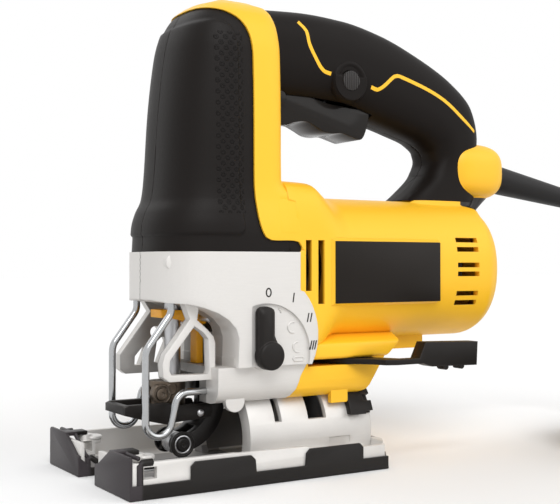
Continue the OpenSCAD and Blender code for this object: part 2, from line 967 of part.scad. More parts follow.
module left_gear_case() {
    color([0.82, 0.81, 0.78])
        difference() {
            union() {
                case_half();
                difference() {
                    side_slab(left_leg, -leg_y1, -leg_y0);
                    side_slab(left_leg_window, -leg_y1 - 1, 1 - leg_y0);
                }
            }
            for (p = case_screw_places)
                translate([p[0], -screw_grip, p[1]])
                    rod_y(screw_r, screw_grip + 1);
            translate([hub_x, -60, hub_z])
                rod_y(selector_shaft_r + 0.05, 40);
            lever_sweep();
        }
}

module right_gear_case() {
    color([0.82, 0.81, 0.78])
        difference() {
            mirror([0, 1, 0])
                union() {
                    case_half();
                    difference() {
                        side_slab(right_leg, -leg_y1, -leg_y0);
                        translate([-26.2, -60, 59])
                            rod_y(2.6, 60);
                        side_slab([[-25.6, 54.6], [-23.4, 56.6], [-21, 56.4], [-20.4, 54.4], [-24.6, 45],
                            [-27, 45.6]], -60, 0);
                        side_slab([[-32.4, 52.8], [-30.7, 51.6], [-33.4, 44.6], [-36.4, 44.6],
                            [-36.2, 48.6]], -60, 0);
                    }
                }
            for (p = case_screw_places) {
                translate([p[0], -1, p[1]])
                    rod_y(screw_r, 60);
                translate([p[0], p[2], p[1]])
                    rod_y(screw_head_r + 0.2, 60);
            }
        }
}

module case_screws() {
    color([0.25, 0.25, 0.27])
        for (p = case_screw_places)
            screw(p[0], p[1], p[2]);
}

module wire_guard() {
    color([0.75, 0.76, 0.78])
        mirror_copy_y()
            sweep_tube(
                concat([[wire_x, wire_y, deck_top]], bent_route(guard_bends, [wire_x, wire_y, deck_top],
                    180)),
                wire_r, 10
            );
}

module gear_plate() {
    color([0.7, 0.7, 0.7])
        difference() {
            union() {
                translate([plate_x, -27, deck_top])
                    cube([plate_t, 54, case_top - deck_top]);
                translate([plate_x, -22, deck_top])
                    cube([plate_t, 44, gear_z - deck_top]);
                translate([plate_x, 0, gear_z])
                    rod_x(22, plate_t);
            }
            translate([plate_x + 1, 0, motor_z])
                rod_x(bearing_r, plate_t);
            translate([plate_x - 1, 0, motor_z])
                rod_x(shaft_r + 1.5, plate_t);
            translate([plate_x - 1, 0, gear_z])
                rod_x(spindle_r, plate_t + 2);
        }
}

module gear_spindle() {
    color([0.75, 0.75, 0.78]) {
        translate([gear_x - 2.2, 0, gear_z])
            rod_x(spindle_r, plate_x + plate_t - gear_x + 2.2);
        translate([gear_x - 2.2, 0, gear_z])
            rod_x(spindle_r + 2, 1.9);
    }
}

module ball_bearing(x, bore) {
    translate([x, 0, motor_z])
        difference() {
            rod_x(bearing_r, bearing_l);
            translate([-1, 0, 0])
                rod_x(bore, bearing_l + 2);
            for (s = [-0.2, bearing_l - 0.8])
                translate([s, 0, 0])
                    difference() {
                        rod_x(bearing_r - 1.8, 1);
                        translate([-1, 0, 0])
                            rod_x(shaft_r + 1.8, 3);
                    }
        }
}

module front_bearing() {
    color([0.7, 0.7, 0.72])
        ball_bearing(plate_x + 1, shaft_r + fit);
}

module rear_bearing() {
    color([0.7, 0.7, 0.72])
        ball_bearing(rear_bearing_x, shaft_r + fit);
}

module lower_bushing() {
    color([0.72, 0.53, 0.3])
        translate([plunger_x, 0, lower_bush_z])
            difference() {
                cylinder(r = lower_bush_r, h = lower_bush_l);
                translate([0, 0, -1])
                    cylinder(r = plunger_r + fit, h = lower_bush_l + 2);
            }
}

module upper_bushing() {
    color([0.72, 0.53, 0.3])
        translate([plunger_x, 0, upper_bush_z])
            difference() {
                cylinder(r = upper_bush_r, h = upper_bush_l);
                translate([0, 0, -1])
                    cylinder(r = plunger_r + fit, h = upper_bush_l + 2);
            }
}

// ---------------------------------------------------------------- motor

module stator() {
    color([0.6, 0.5, 0.4])
        translate([core_x, 0, motor_z]) {
            difference() {
                rod_x(stator_r, core_l);
                translate([-1, 0, 0])
                    rod_x(core_r + 1.2, core_l + 2);
                for (s = [-1, 1])
                    translate([-1, s * 23.4 - 2.4, -9])
                        cube([core_l + 2, 4.8, 18]);
            }
            // field coils
            for (s = [-1, 1])
                translate([-4, s * 23.4 - 2.4, -9])
                    cube([core_l + 8, 4.8, 18]);
        }
}

module brush_holders() {
    color([0.35, 0.3, 0.25])
        mirror_copy_y()
            difference() {
                translate([commutator_x + 4, commutator_r + 1.2, motor_z - 5])
                    cube([commutator_l - 4, 29 - commutator_r - 1.2, 10]);
                translate([commutator_x + 6, 0, motor_z - 3])
                    cube([6, 60, 6]);
            }
}

module brushes() {
    color([0.2, 0.2, 0.2])
        mirror_copy_y()
            translate([commutator_x + 6, commutator_r + slide_gap, motor_z - 3])
                cube([6, 14, 6]);
}

module armature() {
    color([0.55, 0.45, 0.4])
        translate([0, 0, motor_z]) {
            translate([gear_x + gear_face + 0.5, 0, 0])
                rod_x(shaft_r, rear_bearing_x + bearing_l - gear_x - gear_face - 0.5);
            translate([core_x, 0, 0])
                difference() {
                    rod_x(core_r, core_l);
                    for (a = [0 : 30 : 330])
                        rotate([a, 0, 0])
                            translate([-1, 0, core_r - 1])
                                rod_x(1.3, core_l + 2);
                }
            for (x = [core_x - 6, core_x + core_l])
                translate([x, 0, 0])
                    rod_x(core_r - 3.5, 6);
        }
}

module commutator() {
    color([0.72, 0.45, 0.3])
        translate([commutator_x, 0, motor_z])
            difference() {
                rod_x(commutator_r, commutator_l);
                translate([-1, 0, 0])
                    rod_x(shaft_r, commutator_l + 2);
            }
}

module fan() {
    color([0.2, 0.2, 0.2])
        translate([fan_x, 0, motor_z])
            difference() {
                union() {
                    rod_x(fan_r - 2, 2);
                    rod_x(shaft_r + 4, fan_l);
                    for (a = [0 : 24 : 336])
                        rotate([a, 0, 0])
                            translate([0, -0.9, 0])
                                cube([fan_l, 1.8, fan_r - 1]);
                }
                translate([-1, 0, 0])
                    rod_x(shaft_r, fan_l + 2);
                translate([7, 0, 0])
                    rod_x(14, fan_l);
            }
}

// ---------------------------------------------------------------- gears and plunger

module pinion() {
    color([0.6, 0.6, 0.62])
        translate([gear_x - 0.5, 0, motor_z])
            rotate([90, 0, 90])
                rotate([0, 0, 90])
                    linear_extrude(height = gear_face + 1)
                        polygon(gear_outline(pinion_teeth, tooth_module, 0.03));
}

module drive_gear() {
    color([0.6, 0.6, 0.62])
        translate([gear_x, 0, gear_z])
            difference() {
                rotate([90, 0, 90])
                    rotate([0, 0, 90 + 180 / gear_teeth * (1 - gear_teeth % 2)])
                        linear_extrude(height = gear_face)
                            polygon(gear_outline(gear_teeth, tooth_module, 0.03));
                translate([-1, 0, 0])
                    rod_x(spindle_r + 0.05, gear_face + 2);
                // lightening holes
                for (a = [60 : 60 : 240])
                    rotate([a + 30, 0, 0])
                        translate([-1, 0, crank_r - 1.5])
                            rod_x(2.2, gear_face + 2);
            }
}

module crank_pin() {
    color([0.75, 0.75, 0.78])
        translate([gear_x - (gear_x - yoke_x - yoke_t) + slide_gap, crank_y, crank_z])
            rod_x(crank_pin_r, gear_x - yoke_x - yoke_t - slide_gap);
}

module plunger() {
    color([0.75, 0.75, 0.78])
        difference() {
            translate([plunger_x, 0, plunger_z0])
                cylinder(r = plunger_r, h = plunger_top - plunger_z0);
            translate([plunger_x - 10, -0.9, plunger_z0 - 1])
                cube([20, 1.8, 9]);
        }
}

module yoke() {
    color([0.65, 0.65, 0.66])
        difference() {
            union() {
                translate([yoke_x, -crank_r - 5.6, yoke_z - 6])
                    cube([yoke_t, 2 * crank_r + 11.2, 12]);
                translate([plunger_x, 0, yoke_z - 6])
                    cylinder(r = yoke_hub_r, h = 12);
            }
            // slot that the crank pin rides in
            translate([yoke_x + yoke_t - 2, -crank_r - crank_pin_r - 0.1, yoke_z - crank_pin_r - 0.1])
                cube([3, 2 * (crank_r + crank_pin_r) + 0.2, 2 * crank_pin_r + 0.2]);
            translate([plunger_x, 0, yoke_z - 10])
                cylinder(r = plunger_r, h = 20);
        }
}

module blade_clamp() {
    color([0.55, 0.42, 0.28])
        translate([0, 0, clamp_z])
            difference() {
                union() {
                    translate([clamp_x, 0, 0])
                        cylinder(r = clamp_r, h = clamp_h);
                    translate([clamp_x, 0, 3])
                        cylinder(r = clamp_r + 0.5, h = 3);
                    translate([clamp_x, -clamp_r, 0])
                        cube([plunger_x - clamp_x, 2 * clamp_r, clamp_h]);
                    translate([plunger_x, 0, 0])
                        cylinder(r = clamp_r, h = clamp_h);
                }
                // seat of the plunger
                translate([plunger_x, 0, plunger_z0 - clamp_z])
                    cylinder(r = plunger_r, h = 20);
                // blade slot, open below and in front
                translate([clamp_x - 10, -0.9, -1])
                    cube([16, 1.8, 9]);
            }
}

// ---------------------------------------------------------------- blade release and guide

module blade_release() {
    color([0.95, 0.6, 0.1])
        difference() {
            union() {
                translate([-41, -9, 66.4])
                    cube([5.5, 18, 3.4]);
                mirror_copy_y()
                    side_slab([[-40, 69.8], [-40, 67], [-30, 66.2], [-18, 63.6], [-13, 63.4], [-12.4, 66],
                        [-13.5, 68.2], [-18, 69], [-30, 69.8]], 5, 9);
                translate([-16.6, -9, 63.4])
                    cube([3.4, 18, 3.2]);
                translate([-16.2, -3, 46.2])
                    cube([3, 6, 18]);
            }
            translate([release_x, -20, release_z])
                rod_y(pin_r + 0.05, 40);
        }
}

module release_pin() {
    color([0.75, 0.75, 0.78])
        translate([release_x, -pin_y, release_z])
            rod_y(pin_r, 2 * pin_y);
}

// Part of a ring in the XZ plane
module ring_part(x, z, r_in, r_out, a0, a1, y0, y1) {
    translate([x, y1, z])
        rotate([90, 0, 0])
            rotate_extrude(angle = a1 - a0, start = a0)
                translate([r_in, 0])
                    square([r_out - r_in, y1 - y0]);
}

module roller_arm() {
    color([0.13, 0.12, 0.12])
        difference() {
            union() {
                ring_part(arm_x, arm_z, arm_r - arm_w / 2, arm_r + arm_w / 2, -97, pivot_a, -fork_y, fork_y);
                translate([pivot_x, -fork_y, pivot_z])
                    rod_y(4.3, 2 * fork_y);
            }
            // the cheeks stand apart at the pivot and round the roller
            ring_part(arm_x, arm_z, 8, arm_r + arm_w, -110, -50, -arm_gap, arm_gap);
            ring_part(arm_x, arm_z, 8, arm_r + arm_w, -14, 40, -arm_gap, arm_gap);
            translate([pivot_x, -20, pivot_z])
                rod_y(pin_r + 0.05, 40);
            translate([roller_x, -20, roller_z])
                rod_y(pin_r, 40);
        }
}

module arm_pivot() {
    color([0.75, 0.75, 0.78])
        translate([pivot_x, -pin_y, pivot_z])
            rod_y(pin_r, 2 * pin_y);
}

module roller_pin() {
    color([0.75, 0.75, 0.78])
        translate([roller_x, -arm_gap - arm_cheek, roller_z])
            rod_y(pin_r, 2 * (arm_gap + arm_cheek));
}

module guide_fork() {
    color([0.13, 0.12, 0.12]) {
        mirror_copy_y()
            side_slab([[-53, 27], [-53, 30.2], [-51, 31], [-34, 31], [-28, 29.6], [-13, 29.6], [-12, 27],
                [-13, 23.6], [-29, 22.6], [-34, 21.9], [-44, 24.4]], fork_y, fork_y + 2.6);
        translate([-53, -fork_y, 27])
            cube([3.4, 2 * fork_y, 3.6]);
        mirror_copy_y()
            translate([-18.4, fork_y + 2.6, 25.8])
                rod_y(1.7, 0.6);
    }
}

module guide_roller() {
    color([0.5, 0.5, 0.52])
        translate([roller_x, -roller_w / 2, roller_z])
            difference() {
                rod_y(roller_r, roller_w);
                translate([0, -1, 0])
                    rod_y(pin_r + 0.05, roller_w + 2);
                translate([0, roller_w / 2 - 0.8, 0])
                    difference() {
                        rod_y(roller_r + 1, 1.6);
                        translate([0, -1, 0])
                            rod_y(roller_r - 0.6, 4);
                    }
            }
}

// ---------------------------------------------------------------- controls

module selector_knob() {
    y0 = -tower_half + recess_d - slide_gap;
    color([0.13, 0.12, 0.12]) {
        translate([hub_x, -tower_half - 5, hub_z])
            rod_y(selector_r, 5 + y0 + tower_half);
        side_slab([[hub_x - 5.6, hub_z], [hub_x - 5.6, hub_z + 18.4], [hub_x - 3.6, hub_z + 20.4],
            [hub_x + 0.8, hub_z + 20], [hub_x + 2.4, hub_z + 18.6], [hub_x + 2.4, hub_z + 8],
            [hub_x + 4.6, hub_z + 4]], -tower_half - 3.6, y0);
        translate([hub_x, y0 - 1, hub_z])
            rod_y(selector_shaft_r, 1 - y0 - cam_y);
    }
}

module selector_cam() {
    color([0.7, 0.7, 0.72])
        difference() {
            translate([hub_x + 0.9, -cam_y - 0.5, hub_z])
                rod_y(5.4, 5);
            translate([hub_x, -cam_y - 1, hub_z])
                rod_y(selector_shaft_r, 3);
        }
}

module trigger() {
    color([0.13, 0.13, 0.13]) {
        difference() {
            side_slab([[trigger_front + 0.9, 167.5], [trigger_front, 162], [trigger_front, 155.4],
                [17, 152.6], [24, 151.9], [30, 153.6], [36, 154.4], [41, 152.6], [46, 150.3], [51, 149.8],
                [56, 150.3], [61.5, 149], [66.5, 147.9], [68.6, 149.6], [70.4, 154], [71.6, 159.4],
                [71.2, 162], [60, 162.4], [46, 163.8], [34, 166.8],
                [26, 167.5]], -trigger_half, trigger_half);
            translate([spring_x, 0, trigger_seat])
                cylinder(r = spring_r + 0.9, h = 20);
        }
        translate([trigger_x, -trigger_half - trunnion_l, trigger_z])
            rod_y(trunnion_r, 2 * (trigger_half + trunnion_l));
    }
}

module trigger_spring() {
    turns = 4;
    rise = 172.4 - trigger_seat - 1;
    color([0.7, 0.7, 0.72])
        sweep_tube([
            for (i = [0 : turns * 10])
                [spring_x + spring_r * cos(36 * i), spring_r * sin(36 * i),
                trigger_seat + 0.5 + rise * i / (turns * 10)]
        ], 0.5, 6);
}

module switch_module() {
    color([0.2, 0.2, 0.22])
        translate([switch_x, -trigger_half - slide_gap, switch_z])
            cube([switch_l, 2 * (trigger_half + slide_gap), switch_h]);
}

module lock_button() {
    color([0.25, 0.25, 0.25])
        difference() {
            union() {
                translate([button_x, -handle_half - 1, button_z])
                    rod_y(button_r, 8);
                translate([button_x, -trigger_half + slide_gap - 0.6, button_z])
                    rod_y(button_r + 1, 1.6);
            }
            for (i = [-3 : 3])
                translate([button_x + i * 1.2 - 0.3, -handle_half - 2, button_z - 10])
                    cube([0.6, 1.5, 20]);
        }
}

lever_arm = [
    [-5.5, -7.8], [21.6, -38], [24, -44], [29, -46], [60, -46], [60, -40.6], [34, -40.6], [31.6, -36],
    [9.2, -0.4]
];

// The part of a turn about the bolt that a point makes as the lever opens
function swung(p) = [
    p[0] * cos(lever_swing) + p[1] * sin(lever_swing),
    p[1] * cos(lever_swing) - p[0] * sin(lever_swing)
];

// Plan of the space that the lever's arm sweeps
function lever_slot() =
    let (d = slide_gap, a = swung([-5.5 - d, -7.8 - d]), b = swung([40 - d, -59 - d]))
        [a, b, [60, -59], [34 + d, -42], [31.6 + d, -36], [8.6 + d, 3.4 + d]];

module bevel_lever() {
    color([0.13, 0.13, 0.13])
        difference() {
            union() {
                translate([bolt_x, 0, lever_z])
                    linear_extrude(height = lever_t)
                        polygon(lever_arm);
                translate([bolt_x, 0, lever_z])
                    cylinder(r = lever_hub_r, h = lever_t);
                side_slab([[72, 45.6], [76.4, 54.4], [107.2, 53.6], [106.6, 43], [103.6, 40.8],
                    [99.4, 40.8], [96, 42.8], [90, 43], [87, 41.6], [83.6, 41.8], [80, 43.8]], -46, -39.4);
            }
            translate([bolt_x, 0, lever_z - 1])
                cylinder(r = bolt_r + 0.08, h = lever_t + 2);
        }
}

module bevel_bolt() {
    color([0.6, 0.6, 0.62])
        translate([bolt_x, 0, 0])
            difference() {
                union() {
                    translate([0, 0, bolt_z0])
                        cylinder(r = bolt_r, h = nut_top - bolt_z0);
                    translate([0, 0, bolt_z0])
                        cylinder(r = bolt_r + 2.4, h = 3);
                    translate([0, 0, slot_z1])
                        cylinder(r = 7, h = nut_top - slot_z1, $fn = 6);
                }
                translate([0, 0, bolt_z0 - 1])
                    cylinder(r = 2, h = 3, $fn = 6);
            }
}

module clamp_shoe() {
    color([0.6, 0.6, 0.62])
        difference() {
            intersection() {
                translate([bolt_x - 6.5, 0, bevel_z])
                    difference() {
                        rod_x(barrel_in - slide_gap, 13);
                        translate([-1, 0, 0])
                            rod_x(barrel_in - 4, 15);
                    }
                translate([0, -7, bevel_z])
                    cube([80, 14, 40]);
            }
            translate([bolt_x, 0, 20])
                cylinder(r = bolt_r, h = 40);
            translate([bolt_x, 0, bolt_z0])
                cylinder(r = bolt_r + 2.4, h = 3);
        }
}

// ---------------------------------------------------------------- shoe

// Plan of the shoe, with chamfered rear corners and the blade notch
module shoe_plan(half, inset, z0, z1) {
    a = shoe_x0 + inset;
    b = shoe_x1 - inset;
    translate([0, 0, z0])
        linear_extrude(height = z1 - z0)
            polygon([[a, -half], [b - 9, -half], [b, 14 - half], [b, half - 14], [b - 9, half], [a, half],
                [a, notch_half + inset], [notch_x, notch_half + inset], [notch_x, -notch_half - inset],
                [a, -notch_half - inset]]);
}

// Everything under the turned-up rear edge
module rear_rise(lift) {
    side_slab([[rise_x - 20, -5], [rise_x - 20, lift - 5], [rise_x, lift], [shoe_x1 + 1, rise_h + lift],
        [shoe_x1 + 1, -5]], -60, 60);
}

module sole_casting() {
    color([0.8, 0.79, 0.77])
        difference() {
            union() {
                shoe_plan(cast_half, cover_t, cover_t, floor_z);
                // rim round the edge
                difference() {
                    shoe_plan(cast_half, cover_t, cover_t, wall_h);
                    translate([shoe_x0 + cover_t + 2, shoe_wall - cast_half, 0])
                        cube([barrel_x1 + slide_gap - shoe_x0 - cover_t - 2, 2 * (cast_half - shoe_wall),
                            40]);
                }
                // beads beside the blade notch
                mirror_copy_y()
                    translate([shoe_x0 + cover_t, notch_half + cover_t, cover_t])
                        cube([notch_x - shoe_x0 - cover_t, 2, floor_z + 0.6 - cover_t]);
                // ribs beside the guide bar
                mirror_copy_y()
                    translate([shoe_x0 + cover_t, 23.6, cover_t])
                        cube([12, 2.4, 11]);
                // posts that the cover's clips hook over
                mirror_copy_y()
                    translate([shoe_x0 + 10, 27.6, cover_t])
                        cylinder(r = 3.2, h = prong_h - clip_t - 0.2 - cover_t);
            }
            // rear rim and the wall's lower rear stretch
            translate([44, -60, 10.4])
                cube([40, 120, 10]);
            side_slab([[-19, wall_h - 0.2], [14, 13.2], [20, 12], [46, 10.4], [46, 30], [-19, 30]], -60, 60);
            rear_rise(cover_t);
            // windows for the guide bar
            mirror_copy_y()
                translate([-61, 20, 7.4])
                    cube([7.2, 40, 4.6]);
        }
}

module bevel_barrel() {
    color([0.8, 0.79, 0.77])
        difference() {
            union() {
                translate([barrel_x0, 0, bevel_z])
                    rod_x(barrel_r, barrel_l);
                mirror_copy_y()
                    side_slab([[2, floor_z], [2, 7], [4, 8.2], [barrel_x1 - 5, 8.2], [barrel_x1 - 1, 6],
                        [barrel_x1 - 1, floor_z]], 18, 34);
            }
            translate([barrel_x0 + 3, 0, bevel_z])
                rod_x(barrel_in, barrel_l);
            translate([barrel_x0 - 1, 0, bevel_z])
                rod_x(barrel_in - 4, 6);
            translate([barrel_x0 - 1, -60, floor_z - 40])
                cube([barrel_l + 2, 120, 40]);
            // slots for the clamp bolt
            translate([bolt_x - bolt_slot / 2, -40, 21.4])
                cube([bolt_slot, 80, 40]);
            translate([9.7, -40, 21.4])
                cube([3.5, 80, 40]);
            // gaps that let the angle pointer by
            mirror_copy_y()
                translate([pointer_x - 1, barrel_r - 0.4, floor_z])
                    cube([pointer_l + 2.4, 9, 10]);
            // front flange is cut away over the roller arm
            translate([barrel_x0 - 1, -40, bevel_z + 18])
                cube([4, 80, 40]);
        }
}

module detent_ring() {
    color([0.13, 0.12, 0.12])
        difference() {
            translate([detent_x, 0, bevel_z])
                difference() {
                    rod_x(detent_r, detent_l);
                    translate([-1, 0, 0])
                        rod_x(barrel_r, detent_l + 2);
                    translate([-1, -60, -60])
                        cube([20, 120, 68]);
                    // detent notches
                    for (a = [-75 : 15 : 75])
                        rotate([a, 0, 0])
                            translate([detent_l - 4, -1.6, barrel_r + 0.8])
                                cube([5, 3.2, 5]);
                }
        }
}

module shoe_cover() {
    color([0.1, 0.09, 0.1])
        difference() {
            union() {
                shoe_plan(shoe_half, 0, 0, cover_t);
                // sheet under the turned-up rear edge
                intersection() {
                    shoe_plan(shoe_half, 0, 0, 10);
                    side_slab([[rise_x, 0], [shoe_x1 + 1, rise_h], [shoe_x1 + 1, rise_h + cover_t],
                        [rise_x, cover_t]], -60, 60);
                }
                // side strips with their tabs
                mirror_copy_y() {
                    translate([shoe_x0, shoe_half - cover_t, 0])
                        cube([shoe_l - 9, cover_t, 5.5]);
                    side_slab([[-39.6, 0], [-39.6, 10.6], [-37.6, 12.4], [-12.6, 12.4], [-10.7, 10.6],
                        [-9.6, 0]], shoe_half - cover_t, shoe_half);
                    side_slab([[13, 0], [14, 10.6], [15.8, 12.4], [41.2, 12.4], [43, 10.6], [43, 0]],
                        shoe_half - cover_t, shoe_half);
                    // front of the prong
                    translate([shoe_x0, 0, 0])
                        rotate([90, 0, 90])
                            linear_extrude(height = cover_t)
                                polygon([[notch_half, 0], [notch_half, 8.6], [12, 9], [25, prong_h],
                                    [shoe_half - 1, prong_h], [shoe_half, prong_h - 1], [shoe_half, 0]]);
                    // wall along the blade notch
                    side_slab([[shoe_x0, 0], [shoe_x0, 8.6], [shoe_x0 + 3, 6], [shoe_x0 + 6, 3.4],
                        [notch_x, 3.4], [notch_x, 0]], notch_half, notch_half + cover_t);
                    // clip over the post
                    translate([shoe_x0, 24.4, prong_h - clip_t])
                        cube([10, 6.4, clip_t]);
                }
            }
            rear_rise(0);
        }
}

// ---------------------------------------------------------------- lead

module cord_boot() {
    color([0.1, 0.1, 0.1])
        boot_axis() {
            translate([0, 0, -boot_in])
                cylinder(r = boot_collar_r, h = boot_collar_h);
            translate([0, 0, -boot_in])
                cylinder(r = boot_r, h = boot_in + 4);
            translate([0, 0, 4])
                cylinder(r1 = boot_r, r2 = cord_r + 1.2, h = boot_l - 4);
        }
}

module lead() {
    color([0.1, 0.1, 0.1])
        sweep_tube(cord_route, cord_r, 8);
}

module lead_coil() {
    inner = coil_r - coil_lanes * cord_d / 2;
    color([0.1, 0.1, 0.1])
        translate([coil_at[0], coil_at[1], 0]) {
            rotate_extrude($fn = 96)
                translate([inner, 0])
                    square([coil_lanes * cord_d, coil_layers * cord_d]);
            rotate_extrude(angle = 106, start = leave_a)
                translate([coil_r, 0])
                    square([1.5 * cord_d, (coil_layers + 1) * cord_d]);
        }
}

module coil_tie() {
    wide = coil_lanes * cord_d;
    tall = coil_layers * cord_d;
    color([0.12, 0.12, 0.12])
        translate([coil_at[0] - coil_r, coil_at[1], 0])
            difference() {
                translate([-wide / 2 - 1.4, -5, 0])
                    cube([wide + 2.8, 10, tall + 1.4]);
                translate([-wide / 2 - 0.6, -6, -1])
                    cube([wide + 1.2, 12, tall + 1.4]);
            }
}

module plug_body() {
    color([0.1, 0.1, 0.1])
        translate([plug_at[0], plug_at[1], coil_layers * cord_d])
            linear_extrude(height = 16)
                polygon([[0, -plug_w / 2 + 2], [2, -plug_w / 2], [22, -plug_w / 2], [31, -6],
                    [plug_l, -5], [plug_l, 5], [31, 6], [22, plug_w / 2], [2, plug_w / 2],
                    [0, plug_w / 2 - 2]]);
}

module plug_pins() {
    color([0.75, 0.75, 0.77])
        for (s = [-1, 1])
            translate([plug_at[0] - 19, plug_at[1] + s * 9.5, coil_layers * cord_d + 8]) {
                rod_x(2.4, 19);
                translate([0, 0, 0])
                    sphere(r = 2.4);
            }
}

left_housing();
right_housing();
left_front_grip();
right_front_grip();
left_handle_grip();
right_handle_grip();
left_gear_case();
right_gear_case();
side_panels();
gear_plate();
gear_spindle();
front_bearing();
rear_bearing();
stator();
brush_holders();
brushes();
lower_bushing();
upper_bushing();
switch_module();
cord_boot();
wire_guard();
housing_screws();
case_screws();
release_pin();
bevel_bolt();
clamp_shoe();
armature();
commutator();
fan();
pinion();
drive_gear();
crank_pin();
plunger();
yoke();
blade_clamp();
blade_release();
roller_arm();
arm_pivot();
roller_pin();
guide_fork();
guide_roller();
selector_knob();
selector_cam();
trigger();
trigger_spring();
lock_button();
bevel_lever();
sole_casting();
bevel_barrel();
shoe_cover();
detent_ring();
lead();
lead_coil();
coil_tie();
plug_body();
plug_pins();
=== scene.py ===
# The jigsaw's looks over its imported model: every length here is in millimetres until it reaches Blender.
import json
import math

import bmesh
import bpy
import numpy as np
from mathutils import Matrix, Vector


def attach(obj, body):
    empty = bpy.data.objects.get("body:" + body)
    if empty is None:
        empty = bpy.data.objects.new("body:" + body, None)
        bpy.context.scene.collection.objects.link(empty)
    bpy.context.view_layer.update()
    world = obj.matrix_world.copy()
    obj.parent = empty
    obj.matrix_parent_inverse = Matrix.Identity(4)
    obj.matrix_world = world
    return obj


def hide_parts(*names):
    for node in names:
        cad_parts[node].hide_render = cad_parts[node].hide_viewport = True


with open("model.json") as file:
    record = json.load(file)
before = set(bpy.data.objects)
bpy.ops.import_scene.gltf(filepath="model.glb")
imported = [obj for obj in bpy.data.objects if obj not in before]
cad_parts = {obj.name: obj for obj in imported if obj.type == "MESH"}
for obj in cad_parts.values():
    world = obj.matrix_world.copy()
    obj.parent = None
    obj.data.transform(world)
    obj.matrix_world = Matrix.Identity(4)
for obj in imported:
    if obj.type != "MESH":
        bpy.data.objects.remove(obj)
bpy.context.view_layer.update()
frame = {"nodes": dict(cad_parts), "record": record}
NODES = frame["nodes"]
MM = 0.001


# ---------------------------------------------------------------- shader maths

class Value:
    """A shader socket that Python's operators work on."""

    def __init__(self, finish, socket):
        self.finish = finish
        self.socket = socket

    def maths(self, operation, other=None):
        values = {0: self} if other is None else {0: self, 1: other}
        return self.finish.node("ShaderNodeMath", {"operation": operation}, values)

    def __add__(self, other):
        return self.maths("ADD", other)

    def __sub__(self, other):
        return self.maths("SUBTRACT", other)

    def __mul__(self, other):
        return self.maths("MULTIPLY", other)

    def __pow__(self, other):
        return self.maths("POWER", other)

    def __rsub__(self, other):
        return self.finish.node("ShaderNodeMath", {"operation": "SUBTRACT"}, {0: other, 1: self})

    __radd__ = __add__
    __rmul__ = __mul__

    def abs(self):
        return self.maths("ABSOLUTE")

    def most(self, other):
        return self.maths("MAXIMUM", other)

    def wrapped(self, step):
        """Distance from the nearest multiple of step."""
        return self.maths("PINGPONG", step / 2)

    def rise(self, low, high):
        """0 below low, 1 above high, smooth between."""
        return self.finish.node("ShaderNodeMapRange", {"interpolation_type": "SMOOTHSTEP"},
                                {"Value": self, "From Min": low, "From Max": high})

    def fall(self, low, high):
        return 1 - self.rise(low, high)

    def between(self, low, high, soft):
        return self.rise(low - soft, low) * self.fall(high, high + soft)


class Finish:
    """One material, made node by node."""

    def __init__(self, name):
        self.material = bpy.data.materials.new(name)
        self.material.use_nodes = True
        self.tree = self.material.node_tree
        self.tree.nodes.clear()
        self.shader = self.tree.nodes.new("ShaderNodeBsdfPrincipled")
        end = self.tree.nodes.new("ShaderNodeOutputMaterial")
        self.tree.links.new(self.shader.outputs[0], end.inputs[0])
        self.place = None

    def node(self, kind, settings=None, sockets=None, out=0):
        made = self.tree.nodes.new(kind)
        for key, value in (settings or {}).items():
            if key == "stops":
                ramp = made.color_ramp
                for i, (at, colour) in enumerate(value):
                    stop = ramp.elements[i] if i < 2 else ramp.elements.new(at)
                    stop.position = at
                    stop.color = (*colour, 1)
            else:
                setattr(made, key, value)
        for key, value in (sockets or {}).items():
            self.feed(made.inputs[key], value)
        return Value(self, made.outputs[out])

    def feed(self, socket, value):
        if isinstance(value, Value):
            self.tree.links.new(value.socket, socket)
        elif socket.type == "RGBA" and len(value) == 3:
            socket.default_value = (*value, 1)
        else:
            socket.default_value = value

    def set(self, **sockets):
        """Feeds the shader; an underscore in a name stands for a space."""
        for key, value in sockets.items():
            self.feed(self.shader.inputs[key.replace("_", " ")], value)
        return self.material

    def at(self):
        """The point on the object, in millimetres."""
        if self.place is None:
            raw = self.node("ShaderNodeTexCoord", out="Object")
            self.place = self.node("ShaderNodeVectorMath", {"operation": "SCALE"}, {0: raw, "Scale": 1000.0})
        return self.place

    def xyz(self):
        split = self.tree.nodes.new("ShaderNodeSeparateXYZ")
        self.tree.links.new(self.at().socket, split.inputs[0])
        return [Value(self, o) for o in split.outputs]

    def noise(self, size, detail=2.0, rough=0.5, stretch=(1, 1, 1)):
        """Noise from 0 to 1 whose lumps are about size millimetres across."""
        place = self.node("ShaderNodeVectorMath", {"operation": "MULTIPLY"}, {0: self.at(), 1: stretch})
        return self.node("ShaderNodeTexNoise", None,
                         {"Vector": place, "Scale": 1.0 / size, "Detail": detail, "Roughness": rough})

    def pebbles(self, size):
        return self.node("ShaderNodeTexVoronoi", {"feature": "SMOOTH_F1"},
                         {"Vector": self.at(), "Scale": 1.0 / size, "Smoothness": 0.6})

    def blend(self, amount, first, second):
        return self.node("ShaderNodeMix", {"data_type": "RGBA"}, {0: amount, 6: first, 7: second}, out=2)

    def rounded(self, radius):
        """Normals as if the edges were rounded."""
        return self.node("ShaderNodeBevel", {"samples": 4}, {"Radius": radius * MM})

    def edges(self, radius):
        """1 at the edges and 0 on the faces."""
        plain = self.node("ShaderNodeNewGeometry", out="Normal")
        cosine = self.node("ShaderNodeVectorMath", {"operation": "DOT_PRODUCT"},
                           {0: self.rounded(radius), 1: plain}, out="Value")
        return cosine.fall(0.8, 0.995)

    def relief(self, height, depth, radius=0.0):
        """Normals with a relief whose height runs from 0 to 1 for depth millimetres."""
        sockets = {"Height": height, "Strength": 1.0, "Distance": depth * MM}
        if radius:
            sockets["Normal"] = self.rounded(radius)
        return self.node("ShaderNodeBump", None, sockets)


# ---------------------------------------------------------------- finishes

